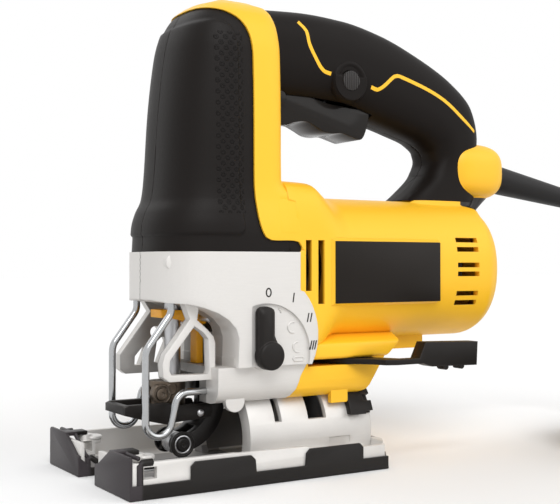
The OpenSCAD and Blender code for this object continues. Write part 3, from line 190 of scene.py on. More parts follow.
YELLOW = (0.98, 0.545, 0.022)
BLACK_RUBBER = (0.0068, 0.0050, 0.0042)
RUBBER_BLOOM = (0.0102, 0.0080, 0.0072)
SILVER = (0.72, 0.70, 0.675)
BARE_SILVER = (0.84, 0.825, 0.80)
# spans of x and z, seen from the side
FRONT_SLOTS = (20, 32), (71, 100)
REAR_SLOTS = (105, 121), (69, 103)
TRIGGER_BAY = (14.2, 74), (147, 176)
DIMPLE_BAND = (-19.5, -8.0), (111, 186)
DIMPLE_LONG, DIMPLE_TALL = 3.8, 4.6
# half widths between which a mask fades out: the painted shade in the slots, and the black of the trigger bay
FRONT_SLOT_DEPTH, REAR_SLOT_DEPTH, BAY_DEPTH = (31.2, 32.5), (29.0, 30.2), (12.7, 12.9)
NECK_X, NECK_LOW, NECK_HIGH = 124.0, 118.6, 123.2
# where the painted shade along the gear case's seam groove and inside its mouth lies
CASE_SEAM, CASE_SEAM_X = (0.12, 0.3), (-37, -35)
CASE_MOUTH, CASE_MOUTH_X, CASE_MOUTH_Z = (18.0, 18.3), (-12, -10.5), (72, 73.5)
# the shoe's barrel: the height of its axis, and the squares of the radii between which the painted shade in its hollow
# fades
SHOE_HOLLOW_Z, SHOE_HOLLOW = 14.0, (590, 625)
# where the painted sheen on the cover's front begins
COVER_FRONT = -61, -59.6


def yellow_moulding():
    """The housing's plastic, with painted shade down its slots, and the black foot of the handle's rubber on its neck.
    """
    f = Finish("yellow_moulding")
    grain = f.noise(0.55, 3.0, 0.6)
    cloud = f.noise(45, 2.0)
    worn = f.edges(0.5)
    colour = f.blend(cloud * 0.25, YELLOW, (0.93, 0.47, 0.012))
    colour = f.blend(worn * 0.3, colour, (1.0, 0.66, 0.10))
    x, y, z = f.xyz()
    inside = y.abs()
    # painted shade: the walls inside the front and rear slots are coloured darker, where shade falls
    front_slot_shade = x.between(*FRONT_SLOTS[0], 0.5) * z.between(*FRONT_SLOTS[1], 0.5) * inside.fall(*FRONT_SLOT_DEPTH)
    rear_slot_shade = x.between(*REAR_SLOTS[0], 0.5) * z.between(*REAR_SLOTS[1], 0.5) * inside.fall(*REAR_SLOT_DEPTH)
    colour = f.blend(front_slot_shade, colour, (0.26, 0.115, 0.006))
    colour = f.blend(rear_slot_shade, colour, (0.10, 0.035, 0.002))
    neck = ((z + (x - NECK_X).most(0) * 0.35).rise(NECK_LOW, NECK_LOW + 0.4) * z.fall(NECK_HIGH - 0.4, NECK_HIGH)
            * x.rise(NECK_X + 0.2, NECK_X + 0.8))
    colour = f.blend(neck, colour, BLACK_RUBBER)
    bay = x.between(*TRIGGER_BAY[0], 0.3) * z.between(*TRIGGER_BAY[1], 0.3) * inside.fall(*BAY_DEPTH)
    colour = f.blend(bay, colour, BLACK_RUBBER)
    return f.set(Base_Color=colour, Roughness=0.35 + grain * 0.16 - worn * 0.06,
                 Normal=f.relief(grain, 0.02, 0.45), Specular_IOR_Level=0.4)


def soft_rubber():
    f = Finish("soft_rubber")
    grain = f.noise(0.5, 3.0, 0.65)
    pebble = f.pebbles(0.9)
    cloud = f.noise(30, 2.0)
    worn = f.edges(0.5)
    colour = f.blend(cloud * 0.5, BLACK_RUBBER, RUBBER_BLOOM)
    colour = f.blend(worn * 0.35, colour, (0.034, 0.030, 0.028))
    return f.set(Base_Color=colour, Roughness=0.38 + grain * 0.14 + cloud * 0.06,
                 Normal=f.relief(grain * 0.6 + pebble * 0.4, 0.02, 0.5), Specular_IOR_Level=0.10)


def dimples(x, z, dx, dz):
    """Small rings in rows."""
    u = (x + dx).wrapped(DIMPLE_LONG)
    v = (z + dz).wrapped(DIMPLE_TALL)
    away = (u * u + v * v) ** 0.5
    return away.between(0.55, 0.85, 0.3)


def boot_rubber():
    """The front grip's rubber with its band of small ring-shaped dimples on each side."""
    f = Finish("boot_rubber")
    x, y, z = f.xyz()
    grain = f.noise(0.5, 3.0, 0.65)
    cloud = f.noise(30, 2.0)
    worn = f.edges(0.6)
    ring = dimples(x, z, 0, 0).most(dimples(x, z, DIMPLE_LONG / 2, DIMPLE_TALL / 2))
    band = x.between(*DIMPLE_BAND[0], 0.6) * z.between(*DIMPLE_BAND[1], 0.8) * y.abs().rise(20, 24)
    height = grain * 0.25 + ring * band * 0.75
    colour = f.blend(cloud * 0.5, BLACK_RUBBER, RUBBER_BLOOM)
    colour = f.blend(ring * band * 0.6, colour, (0.0026, 0.0018, 0.0014))
    colour = f.blend(worn * 0.35, colour, (0.04, 0.034, 0.031))
    return f.set(Base_Color=colour, Roughness=0.36 + grain * 0.14 + cloud * 0.06,
                 Normal=f.relief(height, 0.3, 0.6), Specular_IOR_Level=0.14)


def die_cast():
    """The gear case's casting, with painted shade along its seam's groove and inside its mouth."""
    f = Finish("die_cast")
    grain = f.noise(0.7, 4.0, 0.65)
    brushed = f.noise(0.5, 3.0, 0.6, (0.06, 1, 1))
    flow = f.noise(18, 3.0)
    worn = f.edges(0.45)
    x, y, z = f.xyz()
    colour = f.blend(flow * 0.5, SILVER, (0.66, 0.64, 0.615))
    colour = f.blend(brushed * 0.4, colour, (0.60, 0.58, 0.555))
    colour = f.blend(worn * 0.4, colour, BARE_SILVER)
    # the seam is a real groove; its dark line is painted shade
    seam = y.abs().fall(*CASE_SEAM) * x.fall(*CASE_SEAM_X)
    colour = f.blend(seam, colour, (0.03, 0.026, 0.022))
    # painted shade inside the case's mouth
    mouth = y.abs().fall(*CASE_MOUTH) * x.fall(*CASE_MOUTH_X) * z.fall(*CASE_MOUTH_Z)
    colour = f.blend(mouth * 0.6, colour, (0.10, 0.095, 0.09))
    return f.set(Base_Color=colour, Metallic=0.35, Roughness=0.36 + brushed * 0.2 - worn * 0.08,
                 Normal=f.relief(grain * 0.5 + brushed * 0.5, 0.03, 0.5))


def shoe_casting():
    """The shoe's casting, with painted shade in the hollow under its barrel and on its floor."""
    f = Finish("shoe_casting")
    grain = f.noise(0.8, 4.0, 0.65)
    flow = f.noise(12, 3.0)
    worn = f.edges(0.4)
    colour = f.blend(flow * 0.6, SILVER, (0.58, 0.565, 0.545))
    colour = f.blend(worn * 0.4, colour, BARE_SILVER)
    x, y, z = f.xyz()
    # painted shade in the hollow under the barrel, which is also made less mirror-like there
    up = z - SHOE_HOLLOW_Z
    hollow = (y * y + up * up).fall(*SHOE_HOLLOW) * x.rise(0.5, 1) * z.rise(3.2, 4)
    colour = f.blend(hollow, colour, (0.11, 0.102, 0.097))
    # painted shade on the casting's floor under the barrel
    floor = z.between(2, 6, 0.3) * x.fall(7.5, 8.5) * y.abs().fall(26, 27)
    colour = f.blend(floor * 0.7, colour, (0.13, 0.12, 0.12))
    return f.set(Base_Color=colour, Metallic=0.35 - hollow * 0.3, Roughness=0.36 + grain * 0.2 - worn * 0.08,
                 Normal=f.relief(grain, 0.035, 0.4))


def pressed_cover():
    """The shoe's black cover, with a painted sheen that makes its front paler."""
    f = Finish("pressed_cover")
    grain = f.noise(0.6, 4.0, 0.6)
    cloud = f.noise(15, 3.0)
    worn = f.edges(0.35)
    x, y, z = f.xyz()
    # painted sheen: the front face is coloured paler, as it looks where the light falls on it
    front = x.fall(*COVER_FRONT)
    colour = f.blend(cloud, (0.0085, 0.0070, 0.0062), (0.0125, 0.0106, 0.0096))
    colour = f.blend(front, colour, (0.040, 0.034, 0.037))
    colour = f.blend(worn * 0.5, colour, (0.06, 0.055, 0.053))
    return f.set(Base_Color=colour, Roughness=0.34 + grain * 0.18, Normal=f.relief(grain, 0.02, 0.35),
                 Specular_IOR_Level=0.22)


def laminations():
    f = Finish("laminations")
    x, y, z = f.xyz()
    sheets = x.wrapped(0.6)
    grain = f.noise(0.8, 3.0)
    colour = f.blend(sheets * 3.0, (0.16, 0.12, 0.09), (0.34, 0.27, 0.20))
    return f.set(Base_Color=colour, Metallic=0.6, Roughness=0.4 + grain * 0.2, Normal=f.relief(sheets * 3.0, 0.05))


def plain_finish(name, grain, colours, rough, relief, cloud=None, worn=None, **fixed):
    """One colour, or two that mix by cloud or else by grain, and another at the edges, for wear, and on black plastic
    partly for a painted highlight.

    grain says a noise, cloud a size and a share, worn a radius, a share and a colour, rough the roughness and what
    the grain adds to it, and relief a depth and the radius of the edges.
    """
    f = Finish(name)
    grains = f.noise(*grain)
    colour = colours[0]
    if cloud:
        size, share = cloud
        colour = f.blend(f.noise(size) * share, *colours)
    elif len(colours) > 1:
        colour = f.blend(grains, *colours)
    if worn:
        radius, share, bare = worn
        colour = f.blend(f.edges(radius) * share, colour, bare)
    return f.set(Base_Color=colour, Roughness=rough[0] + grains * rough[1], Normal=f.relief(grains, *relief), **fixed)


PLAIN_FINISHES = {
    # black plastic's edges are paler partly as wear and partly as a painted highlight that shows the facets
    "black_plastic": dict(
        name="black_moulding", grain=(0.4, 3.0, 0.6), cloud=(20, 0.5), worn=(0.8, 0.55, (0.075, 0.068, 0.064)),
        colours=((0.0105, 0.0086, 0.0076), (0.0155, 0.0132, 0.0120)), rough=(0.36, 0.16), relief=(0.02, 0.35),
        Specular_IOR_Level=0.18),
    "trigger": dict(
        name="trigger_moulding", grain=(0.4, 3.0, 0.6), cloud=(16, 0.5), worn=(0.5, 0.4, (0.045, 0.042, 0.040)),
        colours=((0.013, 0.0112, 0.0100), (0.019, 0.0170, 0.0158)), rough=(0.12, 0.06), relief=(0.008, 0.6),
        Specular_IOR_Level=0.14),
    "grey_plastic": dict(
        name="grey_moulding", grain=(0.4, 3.0, 0.6), worn=(0.25, 0.5, (0.09, 0.085, 0.08)),
        colours=((0.040, 0.037, 0.036),), rough=(0.38, 0.16), relief=(0.02, 0.2), Specular_IOR_Level=0.25),
    "panel": dict(
        name="satin_panel", grain=(0.35,), cloud=(25, 1), rough=(0.30, 0.12), relief=(0.008, 0.3),
        colours=((0.0095, 0.0070, 0.0054), (0.0135, 0.0102, 0.0080)), Specular_IOR_Level=0.16),
    "steel": dict(
        name="ground_steel", grain=(0.25, 3.0, 0.6, (1, 1, 0.08)), cloud=(6, 0.6), rough=(0.22, 0.2),
        colours=((0.56, 0.56, 0.57), (0.40, 0.40, 0.41)), relief=(0.006, 0.2), Metallic=1.0),
    "dark_steel": dict(
        name="black_steel", grain=(0.4, 3.0), worn=(0.3, 0.7, (0.30, 0.30, 0.30)), colours=((0.05, 0.05, 0.053),),
        rough=(0.34, 0.2), relief=(0.01, 0.2), Metallic=0.9),
    "gear_steel": dict(
        name="gear_steel", grain=(0.5, 3.0), colours=((0.36, 0.36, 0.37), (0.48, 0.48, 0.49)), rough=(0.3, 0.2),
        relief=(0.01, 0.15), Metallic=1.0),
    "bronze": dict(
        name="bronze", grain=(0.3, 4.0, 0.7), colours=((0.42, 0.26, 0.11), (0.55, 0.36, 0.17)), rough=(0.35, 0.2),
        relief=(0.015, 0.2), Metallic=0.9),
    "bronze_steel": dict(
        name="browned_steel", grain=(0.4, 4.0, 0.6), worn=(0.4, 0.6, (0.42, 0.37, 0.32)), rough=(0.28, 0.2),
        colours=((0.11, 0.085, 0.063), (0.17, 0.135, 0.105)), relief=(0.02, 0.3), Metallic=0.9),
    "copper": dict(
        name="copper", grain=(0.5, 3.0, 0.5, (0.1, 1, 1)), colours=((0.50, 0.22, 0.11), (0.62, 0.31, 0.17)),
        rough=(0.25, 0.2), relief=(0.01,), Metallic=1.0),
    "carbon": dict(
        name="carbon", grain=(0.4, 4.0), colours=((0.018, 0.018, 0.018), (0.04, 0.04, 0.04)), rough=(0.5, 0.2),
        relief=(0.02,)),
    "wire": dict(
        name="plated_wire", grain=(0.5,), cloud=(5, 0.6), colours=((0.50, 0.51, 0.52), (0.34, 0.345, 0.35)),
        rough=(0.14, 0.1), relief=(0.006,), Metallic=1.0),
    "orange": dict(
        name="orange_moulding", grain=(0.4, 3.0), worn=(0.4, 0.4, (1.0, 0.56, 0.06)), colours=((0.95, 0.42, 0.012),),
        rough=(0.32, 0.14), relief=(0.015, 0.4)),
    "black_metal": dict(
        name="oxide_metal", grain=(0.5, 4.0, 0.6), worn=(0.4, 0.7, (0.10, 0.094, 0.09)), rough=(0.26, 0.18),
        colours=((0.013, 0.0115, 0.011),), relief=(0.02, 0.35), Metallic=0.25, Specular_IOR_Level=0.25),
    "cord_rubber": dict(
        name="cord_sheath", grain=(0.5, 3.0, 0.6), cloud=(18, 1), rough=(0.38, 0.16), relief=(0.02, 0.3),
        colours=((0.012, 0.0112, 0.0112), (0.018, 0.0168, 0.0168)), Specular_IOR_Level=0.16),
    "pins": dict(
        name="plated_pin", grain=(0.4,), colours=((0.62, 0.61, 0.58), (0.70, 0.69, 0.66)), rough=(0.16, 0.14),
        relief=(0.008,), Metallic=1.0),
}
OWN_FINISHES = {"housing": yellow_moulding, "grip": soft_rubber, "boot": boot_rubber, "case": die_cast,
                "cast": shoe_casting, "cover": pressed_cover, "laminations": laminations}
MADE = {}
SLOT_OF = {s["node"]: s["material_slot"] for s in frame["record"]["subparts"]}
BODY_OF = {n: b for b, ns in frame["record"]["behaviour"]["bodies"].items() for n in ns}


def finish_for(slot):
    if slot not in MADE:
        MADE[slot] = OWN_FINISHES[slot]() if slot in OWN_FINISHES else plain_finish(**PLAIN_FINISHES[slot])
    return MADE[slot]


# ---------------------------------------------------------------- camera, light and floor

LENS, CAMERA_AT, CAMERA_TURN = 66.15, (-0.2209, -0.4027, 0.0891), (90.69, 0, -31.74)
# strength, spread, azimuth and height of each light
SUNS = {"key": (1.55, 35, -112, 42), "fill": (0.65, 50, -50, 30), "back": (0.5, 40, 110, 50)}
WORLD_LIT, WORLD_SHOWN = 0.5, 1.0
FLOOR_HALF, FLOOR_DROP = 6.0, 0.0002


def stand_camera():
    data = bpy.data.cameras.new("camera")
    data.sensor_width = 36
    data.lens = LENS
    data.clip_start = 0.01
    camera = bpy.data.objects.new("camera", data)
    camera.location = CAMERA_AT
    camera.rotation_euler = [math.radians(turn) for turn in CAMERA_TURN]
    bpy.context.scene.collection.objects.link(camera)
    bpy.context.scene.camera = camera


def hang_sun(name, strength, spread, azimuth, height):
    data = bpy.data.lights.new(name, "SUN")
    data.energy = strength
    data.angle = math.radians(spread)
    sun = bpy.data.objects.new(name, data)
    a, h = math.radians(azimuth), math.radians(height)
    towards = Vector((math.cos(h) * math.cos(a), math.cos(h) * math.sin(a), math.sin(h)))
    sun.rotation_euler = towards.to_track_quat("Z", "Y").to_euler()
    bpy.context.scene.collection.objects.link(sun)


def light_studio():
    """White all round, brighter where it is seen or mirrored than as light."""
    world = bpy.data.worlds.new("studio")
    bpy.context.scene.world = world
    world.use_nodes = True
    tree = world.node_tree
    tree.nodes.clear()
    path = tree.nodes.new("ShaderNodeLightPath")
    seen = path.outputs["Is Camera Ray"]
    for ray in ("Is Glossy Ray", "Is Transmission Ray"):
        either = tree.nodes.new("ShaderNodeMath")
        either.operation = "MAXIMUM"
        tree.links.new(seen, either.inputs[0])
        tree.links.new(path.outputs[ray], either.inputs[1])
        seen = either.outputs[0]
    mix = tree.nodes.new("ShaderNodeMixShader")
    tree.links.new(seen, mix.inputs[0])
    for i, strength in ((1, WORLD_LIT), (2, WORLD_SHOWN)):
        back = tree.nodes.new("ShaderNodeBackground")
        back.inputs["Color"].default_value = (1, 1, 1, 1)
        back.inputs["Strength"].default_value = strength
        tree.links.new(back.outputs[0], mix.inputs[i])
    end = tree.nodes.new("ShaderNodeOutputWorld")
    tree.links.new(mix.outputs[0], end.inputs[0])
    for name, sun in SUNS.items():
        hang_sun(name, *sun)


def lay_floor():
    mesh = bpy.data.meshes.new("floor")
    corners = [(x * FLOOR_HALF, y * FLOOR_HALF, -FLOOR_DROP) for x, y in ((-1, -1), (1, -1), (1, 1), (-1, 1))]
    mesh.from_pydata(corners, [], [(0, 1, 2, 3)])
    floor = bpy.data.objects.new("floor", mesh)
    bpy.context.scene.collection.objects.link(floor)
    f = Finish("floor_paper")
    mesh.materials.append(f.set(Base_Color=(0.97, 0.97, 0.97), Roughness=0.9, Specular_IOR_Level=0.0))


# ---------------------------------------------------------------- smooth skins

def round_edges(work, radius, chosen=None):
    sharp = [e for e in work.edges if len(e.link_faces) == 2 and e.calc_face_angle(0) > math.radians(40)
             and e.calc_length() > 0.15 * MM and (chosen is None or chosen(e))]
    if radius and sharp:
        bmesh.ops.bevel(work, geom=sharp, offset=radius * MM, offset_type="OFFSET", segments=2, profile=0.5,
                        affect="EDGES", clamp_overlap=True, loop_slide=True)


def hermite(u, a, leaving, b, arriving):
    """The cubic from a to b with the slopes leaving and arriving."""
    return ((2 * u ** 3 - 3 * u ** 2 + 1) * a + (u ** 3 - 2 * u ** 2 + u) * leaving
            + (3 * u ** 2 - 2 * u ** 3) * b + (u ** 3 - u ** 2) * arriving)


class Stations:
    """Smooth curves through rows of stations, with no overshoot between them."""

    def __init__(self, rows):
        table = np.array(rows, float)
        self.at, self.value = table[:, 0], table[:, 1:]
        step = np.diff(self.at)[:, None]
        slope = np.diff(self.value, axis=0) / step
        self.slope = np.zeros_like(self.value)
        self.slope[0], self.slope[-1] = slope[0], slope[-1]
        before, after = slope[:-1], slope[1:]
        same = before * after > 0
        mean = np.where(same, 2 * before * after / np.where(same, before + after, 1), 0)
        self.slope[1:-1] = mean

    def __call__(self, t):
        t = np.clip(t, self.at[0], self.at[-1])
        i = np.clip(np.searchsorted(self.at, t, side="right") - 1, 0, len(self.at) - 2)
        h = (self.at[i + 1] - self.at[i])[:, None]
        u = ((t - self.at[i])[:, None]) / h
        return hermite(u, self.value[i], self.slope[i] * h, self.value[i + 1], self.slope[i + 1] * h).T


def spread(flat, side, reach, half, n):
    """Where a point of a section stands: its share of the way out, and the way the skin faces there."""
    a, b = np.abs(flat) / reach, np.abs(side) / half
    share = np.maximum((a ** n + b ** n) ** (1 / n), 1e-6)
    out = np.stack([np.sign(flat) * a ** (n - 1) / reach, np.sign(side) * b ** (n - 1) / half])
    return share, out / np.maximum(np.hypot(*out), 1e-9)


TOWER = Stations([
    (94.4, -41.7, 33.2, 17), (101, -41.3, 33.2, 17), (105.5, -40.9, 32.9, 16.5), (111, -39.4, 32, 16),
    (117, -36.6, 30.8, 15), (124, -35.5, 30.3, 14.4), (155, -33.3, 30, 14.3), (180, -30.2, 29.2, 14.2),
    (189, -28, 27.6, 13.8), (196, -24.6, 24.2, 13), (201, -19, 18.2, 12), (204.5, -9, 9.2, 9),
])
BODY = Stations([
    (13, 86.5, 39.5, 33, 6), (27, 86.5, 39, 33, 6), (34, 86.8, 36.5, 33.2, 4), (40, 87, 34, 34, 2.7),
    (46, 87, 33, 34, 2.4), (132, 87, 33, 34, 2.4), (142, 87, 31.8, 32.4, 2.3), (151, 87, 28.6, 28.6, 2.2),
    (157, 87, 22, 22, 2.1), (160.5, 87, 13, 13, 2), (161.5, 87, 6, 6, 2),
])
HANDLE = Stations([
    (0, 8, 183.5, 0, 20, 17), (1, 36, 184.3, 0, 20.8, 17.34), (2, 56, 183.3, 2, 21, 17),
    (3, 76, 179, 8, 21.5, 16.66), (4, 96, 172.8, 14, 20.5, 16.15), (5, 114.5, 165, 28, 19, 15.64),
    (6, 124.5, 156.5, 45, 18.6, 14.96), (7, 127, 147.5, 60, 17.4, 14.62), (8, 125, 138.5, 72, 17.2, 14.28),
    (9, 119.5, 127, 82, 21.5, 14.62), (10, 114.5, 116, 90, 28.5, 15.3),
])
TOWER_REAR = 15
CASE_X, CASE_FRONT, CASE_REAR, CASE_HALF, CASE_FLOOR = 2, 43.7, 40, 33.2, 46
FAR_OFF = 1e3


def tower_skin(p):
    """The tower's skin: the point moved onto it, how far that is, and the way the skin faces."""
    front, half, rear = TOWER(p[:, 2])
    mid = rear - TOWER_REAR
    flat, side = p[:, 0] - mid, p[:, 1]
    back = flat > 0
    share, out = spread(flat, side, np.where(back, TOWER_REAR, mid - front), half, np.where(back, 5, 2.8))
    on = np.stack([mid + flat / share, side / share, p[:, 2]], 1)
    return on, np.linalg.norm(on - p, axis=1), np.stack([out[0], out[1], 0 * side], 1)


def body_skin(p):
    """The motor barrel's skin, squarer at its front."""
    mid, tall, half, n = BODY(p[:, 0])
    flat, side = p[:, 2] - mid, p[:, 1]
    share, out = spread(flat, side, tall, half, n)
    on = np.stack([p[:, 0], side / share, mid + flat / share], 1)
    return on, np.linalg.norm(on - p, axis=1), np.stack([0 * side, out[1], out[0]], 1)


def case_skin(p):
    """The gear case's upright skin."""
    flat, side = p[:, 0] - CASE_X, p[:, 1]
    back = flat > 0
    share, out = spread(flat, side, np.where(back, CASE_REAR, CASE_FRONT), CASE_HALF, np.where(back, 6, 2.8))
    on = np.stack([CASE_X + flat / share, side / share, p[:, 2]], 1)
    far = np.where(p[:, 2] < CASE_FLOOR, FAR_OFF, np.linalg.norm(on - p, axis=1))
    return on, far, np.stack([out[0], out[1], 0 * side], 1)


def along_handle(p):
    """The station whose section a point lies in."""
    t = np.linspace(0, 10, 101)
    x, z, lean, _, _ = HANDLE(t)
    lean = np.radians(lean)
    off = (p[:, :1] - x) * np.cos(lean) - (p[:, 2:3] - z) * np.sin(lean)
    away = np.hypot(p[:, :1] - x, p[:, 2:3] - z)
    crossing = off[:, :-1] * off[:, 1:] <= 0
    cost = np.where(crossing, away[:, :-1], 1e6)
    i = np.argmin(cost, axis=1)
    rows = np.arange(len(p))
    a, b = off[rows, i], off[rows, i + 1]
    inside = cost[rows, i] < 1e5
    s = t[i] + 0.1 * np.where(inside, a / np.where(a == b, 1, a - b), 0)
    return np.where(inside, s, -1)


def handle_skin(p):
    """The handle's skin."""
    t = along_handle(p)
    x, z, lean, tall, half = HANDLE(t)
    lean = np.radians(lean)
    flat = -(p[:, 0] - x) * np.sin(lean) - (p[:, 2] - z) * np.cos(lean)
    share, out = spread(flat, p[:, 1], tall, half, 2.7)
    flat_on = flat / share
    on = np.stack([x - flat_on * np.sin(lean), p[:, 1] / share, z - flat_on * np.cos(lean)], 1)
    far = np.where(t < 0, FAR_OFF, np.linalg.norm(on - p, axis=1))
    return on, far, np.stack([-out[0] * np.sin(lean), out[1], -out[0] * np.cos(lean)], 1)


# ---------------------------------------------------------------- making meshes

SEAM_HALF = 0.3
SEAM_DEPTH = 0.3


def start_mesh(name):
    """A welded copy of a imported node's mesh."""
    work = bmesh.new()
    work.from_mesh(NODES[name].data)
    bmesh.ops.remove_doubles(work, verts=work.verts, dist=0.002 * MM)
    bmesh.ops.dissolve_degenerate(work, edges=work.edges, dist=0.001 * MM)
    return work


def place(name, mesh, slot, body):
    made = bpy.data.objects.new(name, mesh)
    bpy.context.scene.collection.objects.link(made)
    mesh.materials.clear()
    mesh.materials.append(finish_for(slot))
    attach(made, body)
    return made


def shade(mesh, angle):
    mesh.shade_smooth()
    mesh.set_sharp_from_angle(angle=math.radians(angle))


def finished(name, work, slot, body, angle=32, replaced=()):
    mesh = bpy.data.meshes.new(name)
    work.to_mesh(mesh)
    work.free()
    for stale in ("custom_normal", "skin"):
        if stale in mesh.attributes:
            mesh.attributes.remove(mesh.attributes[stale])
    shade(mesh, angle)
    made = place(name, mesh, slot, body)
    if replaced:
        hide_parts(*replaced)
    return made


def skin_faces(work, skins, reach=1.1, facing=0.55):
    """Which faces lie on which skin."""
    faces = list(work.faces)
    corners = np.array([[v.co for v in f.verts[:3]] for f in faces], float) / MM
    normals = np.array([f.normal for f in faces], float)
    best = np.full(len(faces), 1e9)
    chosen = np.full(len(faces), -1)
    for k, skin in enumerate(skins):
        _, far, _ = skin(corners.reshape(-1, 3))
        far = far.reshape(-1, 3).max(axis=1)
        _, _, out = skin(corners.mean(axis=1))
        good = (far < reach) & ((out * normals).sum(axis=1) > facing) & (far < best)
        best[good], chosen[good] = far[good], k
    return faces, chosen


def smooth_node(name, skins, edge=2.4, reach=1.1, facing=0.55, before=None, after=None, seam=True):
    """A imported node's mesh with its outer faces cut finer and laid onto smooth skins."""
    work = start_mesh(name)
    bmesh.ops.triangulate(work, faces=work.faces)
    layer = work.faces.layers.int.new("skin")
    faces, chosen = skin_faces(work, skins, reach, facing)
    for f, k in zip(faces, chosen):
        f[layer] = int(k) + 1
    if seam:
        side = -1 if name.startswith("left") else 1
        outer = [f for f in work.faces if f[layer]]
        parts = outer + list({e for f in outer for e in f.edges}) + list({v for f in outer for v in f.verts})
        bmesh.ops.bisect_plane(work, geom=parts, dist=1e-6, plane_co=(0, side * SEAM_HALF * MM, 0),
                               plane_no=(0, 1, 0))
        bmesh.ops.triangulate(work, faces=[f for f in work.faces if len(f.verts) > 3])
    for _ in range(9):
        long = [e for e in work.edges if e.calc_length() > edge * MM and any(f[layer] for f in e.link_faces)]
        if not long:
            break
        bmesh.ops.subdivide_edges(work, edges=long, cuts=1)
        bmesh.ops.triangulate(work, faces=[f for f in work.faces if len(f.verts) > 3], quad_method="SHORT_EDGE")
    outer = [f for f in work.faces if f[layer]]
    inner = [e for e in {e for f in outer for e in f.edges} if len(e.link_faces) == 2
             and e.link_faces[0][layer] == e.link_faces[1][layer] and e.calc_face_angle(3) < 0.5]
    bmesh.ops.beautify_fill(work, faces=outer, edges=inner, method="AREA")
    on = {}
    for f in work.faces:
        if f[layer]:
            for v in f.verts:
                on.setdefault(v, set()).add(f[layer] - 1)
    verts = list(on)
    points = np.array([v.co for v in verts], float) / MM
    out = np.zeros_like(points)
    flat = np.abs(points[:, 1]) < 0.01
    if before:
        points = before(points)
    for _ in range(4):
        for k, skin in enumerate(skins):
            rows = np.array([i for i, v in enumerate(verts) if k in on[v]], int)
            if len(rows):
                moved, far, faces_out = skin(points[rows])
                near = far < 2.5
                points[rows[near]] = moved[near]
                out[rows] = faces_out
    if seam:
        points[flat] -= out[flat] * SEAM_DEPTH
        points[flat, 1] = 0
    if after:
        points = after(points, out)
    for v, p in zip(verts, points):
        v.co = Vector(p) * MM
    return work


def skin_rings(work, rings, closed=False):
    """Faces between rings of vertices, and from the last ring to the first if closed."""
    for low, high in zip(rings, rings[1:] + rings[:1] * closed):
        for i in range(len(low)):
            j = (i + 1) % len(low)
            corners = list(dict.fromkeys((low[i], low[j], high[j], high[i])))
            if len(corners) > 2:
                work.faces.new(corners)


def solid_between(work, near, far):
    """A solid between two outlines of vertices."""
    work.faces.new(near)
    work.faces.new(far[::-1])
    skin_rings(work, [near, far])


def round_line(name, routes, radius, resolution):
    """A curve as thick as a wire along each route."""
    curve = bpy.data.curves.new(name, "CURVE")
    curve.dimensions = "3D"
    curve.bevel_depth = radius * MM
    curve.bevel_resolution = resolution
    curve.use_fill_caps = True
    for route in routes:
        line = curve.splines.new("POLY")
        line.points.add(len(route) - 1)
        for point, (x, y, z) in zip(line.points, route):
            point.co = (x * MM, y * MM, z * MM, 1)
        line.use_smooth = True
    return curve


# ---------------------------------------------------------------- mains lead

CORD_R = 4.0
COIL_X, COIL_Y, COIL_R = 204.0, -81.0, 40.0
LEAVE = 40.0
LAST_BEND = 34.0
CLIMB = 84.0
DROP = [
    (216, 0, 125.2), (226, 0, 123.2), (236, 0, 118.5), (244, 0, 111), (249.5, 0, 101), (251.8, 0, 89), (252, -0.5, 76),
    (252, -1.5, 62), (252, -3.5, 48), (252, -7.5, 35.5), (252, -13.5, 24.5), (252, -21.5, 15), (252, -31.5, 8),
    (252, -43, 4.6), (252, -52, 4.1), (252, -62, 4), (252, -72, 4),
]


def ease(t):
    return 0.5 - 0.5 * math.cos(math.pi * t)


def coil_point(turned, radius, height):
    t = math.radians(turned)
    return (COIL_X + radius * math.cos(t), COIL_Y - radius * math.sin(t), height)


def coil_route(step=7.5):
    """Four layers of turns, each a spiral, then part of a turn on top and the bend to the plug."""
    d = 2 * CORD_R
    route, turned = [], 0.0
    for layer, (start, way) in enumerate([(COIL_R + d, -1), (COIL_R - d, 1)] * 2):
        height = CORD_R + layer * d
        for i in range(int(720 / step)):
            route.append(coil_point(turned + i * step, start + way * d * i * step / 360, height))
        turned += 720
        count = int(CLIMB / step)
        for i in range(count):
            s = i / count
            route.append(coil_point(turned + s * CLIMB, start + way * (2 * d + 0.45 * math.sin(math.pi * s)),
                                    height + d * ease(s)))
        turned += CLIMB
    end = 360 * math.ceil(turned / 360) + LEAVE
    count = int((end - turned) / step)
    for i in range(count):
        s = i / count
        route.append(coil_point(turned + (end - turned) * s, COIL_R + d - CORD_R * ease(s), CORD_R + 4 * d))
    last = COIL_R + CORD_R - LAST_BEND
    middle = (COIL_X + last * math.cos(math.radians(LEAVE)), COIL_Y - last * math.sin(math.radians(LEAVE)))
    for i in range(9):
        t = math.radians(LEAVE + (90 - LEAVE) * i / 8)
        route.append((middle[0] + LAST_BEND * math.cos(t), middle[1] - LAST_BEND * math.sin(t),
                      CORD_R + 4 * d + CORD_R * ease(i / 8)))
    return route


def mains_lead():
    route = DROP + coil_route()
    lead = place("mains_lead", round_line("mains_lead", [route], CORD_R, 3), "cord_rubber", "housing")
    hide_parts("lead", "lead_coil")
    [c * MM for c in route[0]]


# ---------------------------------------------------------------- housing and its rubber

BUTTON_X, BUTTON_Z = 56.0, 173.8

def set_in(points, out, amount):
    """Points moved inwards off the skin they lie on."""
    return points - out * np.asarray(amount)[:, None]


def between(v, low, high):
    return (v > low) & (v < high)


def ease_between(v, low, high):
    t = np.clip((v - low) / (high - low), 0, 1)
    return t * t * (3 - 2 * t)


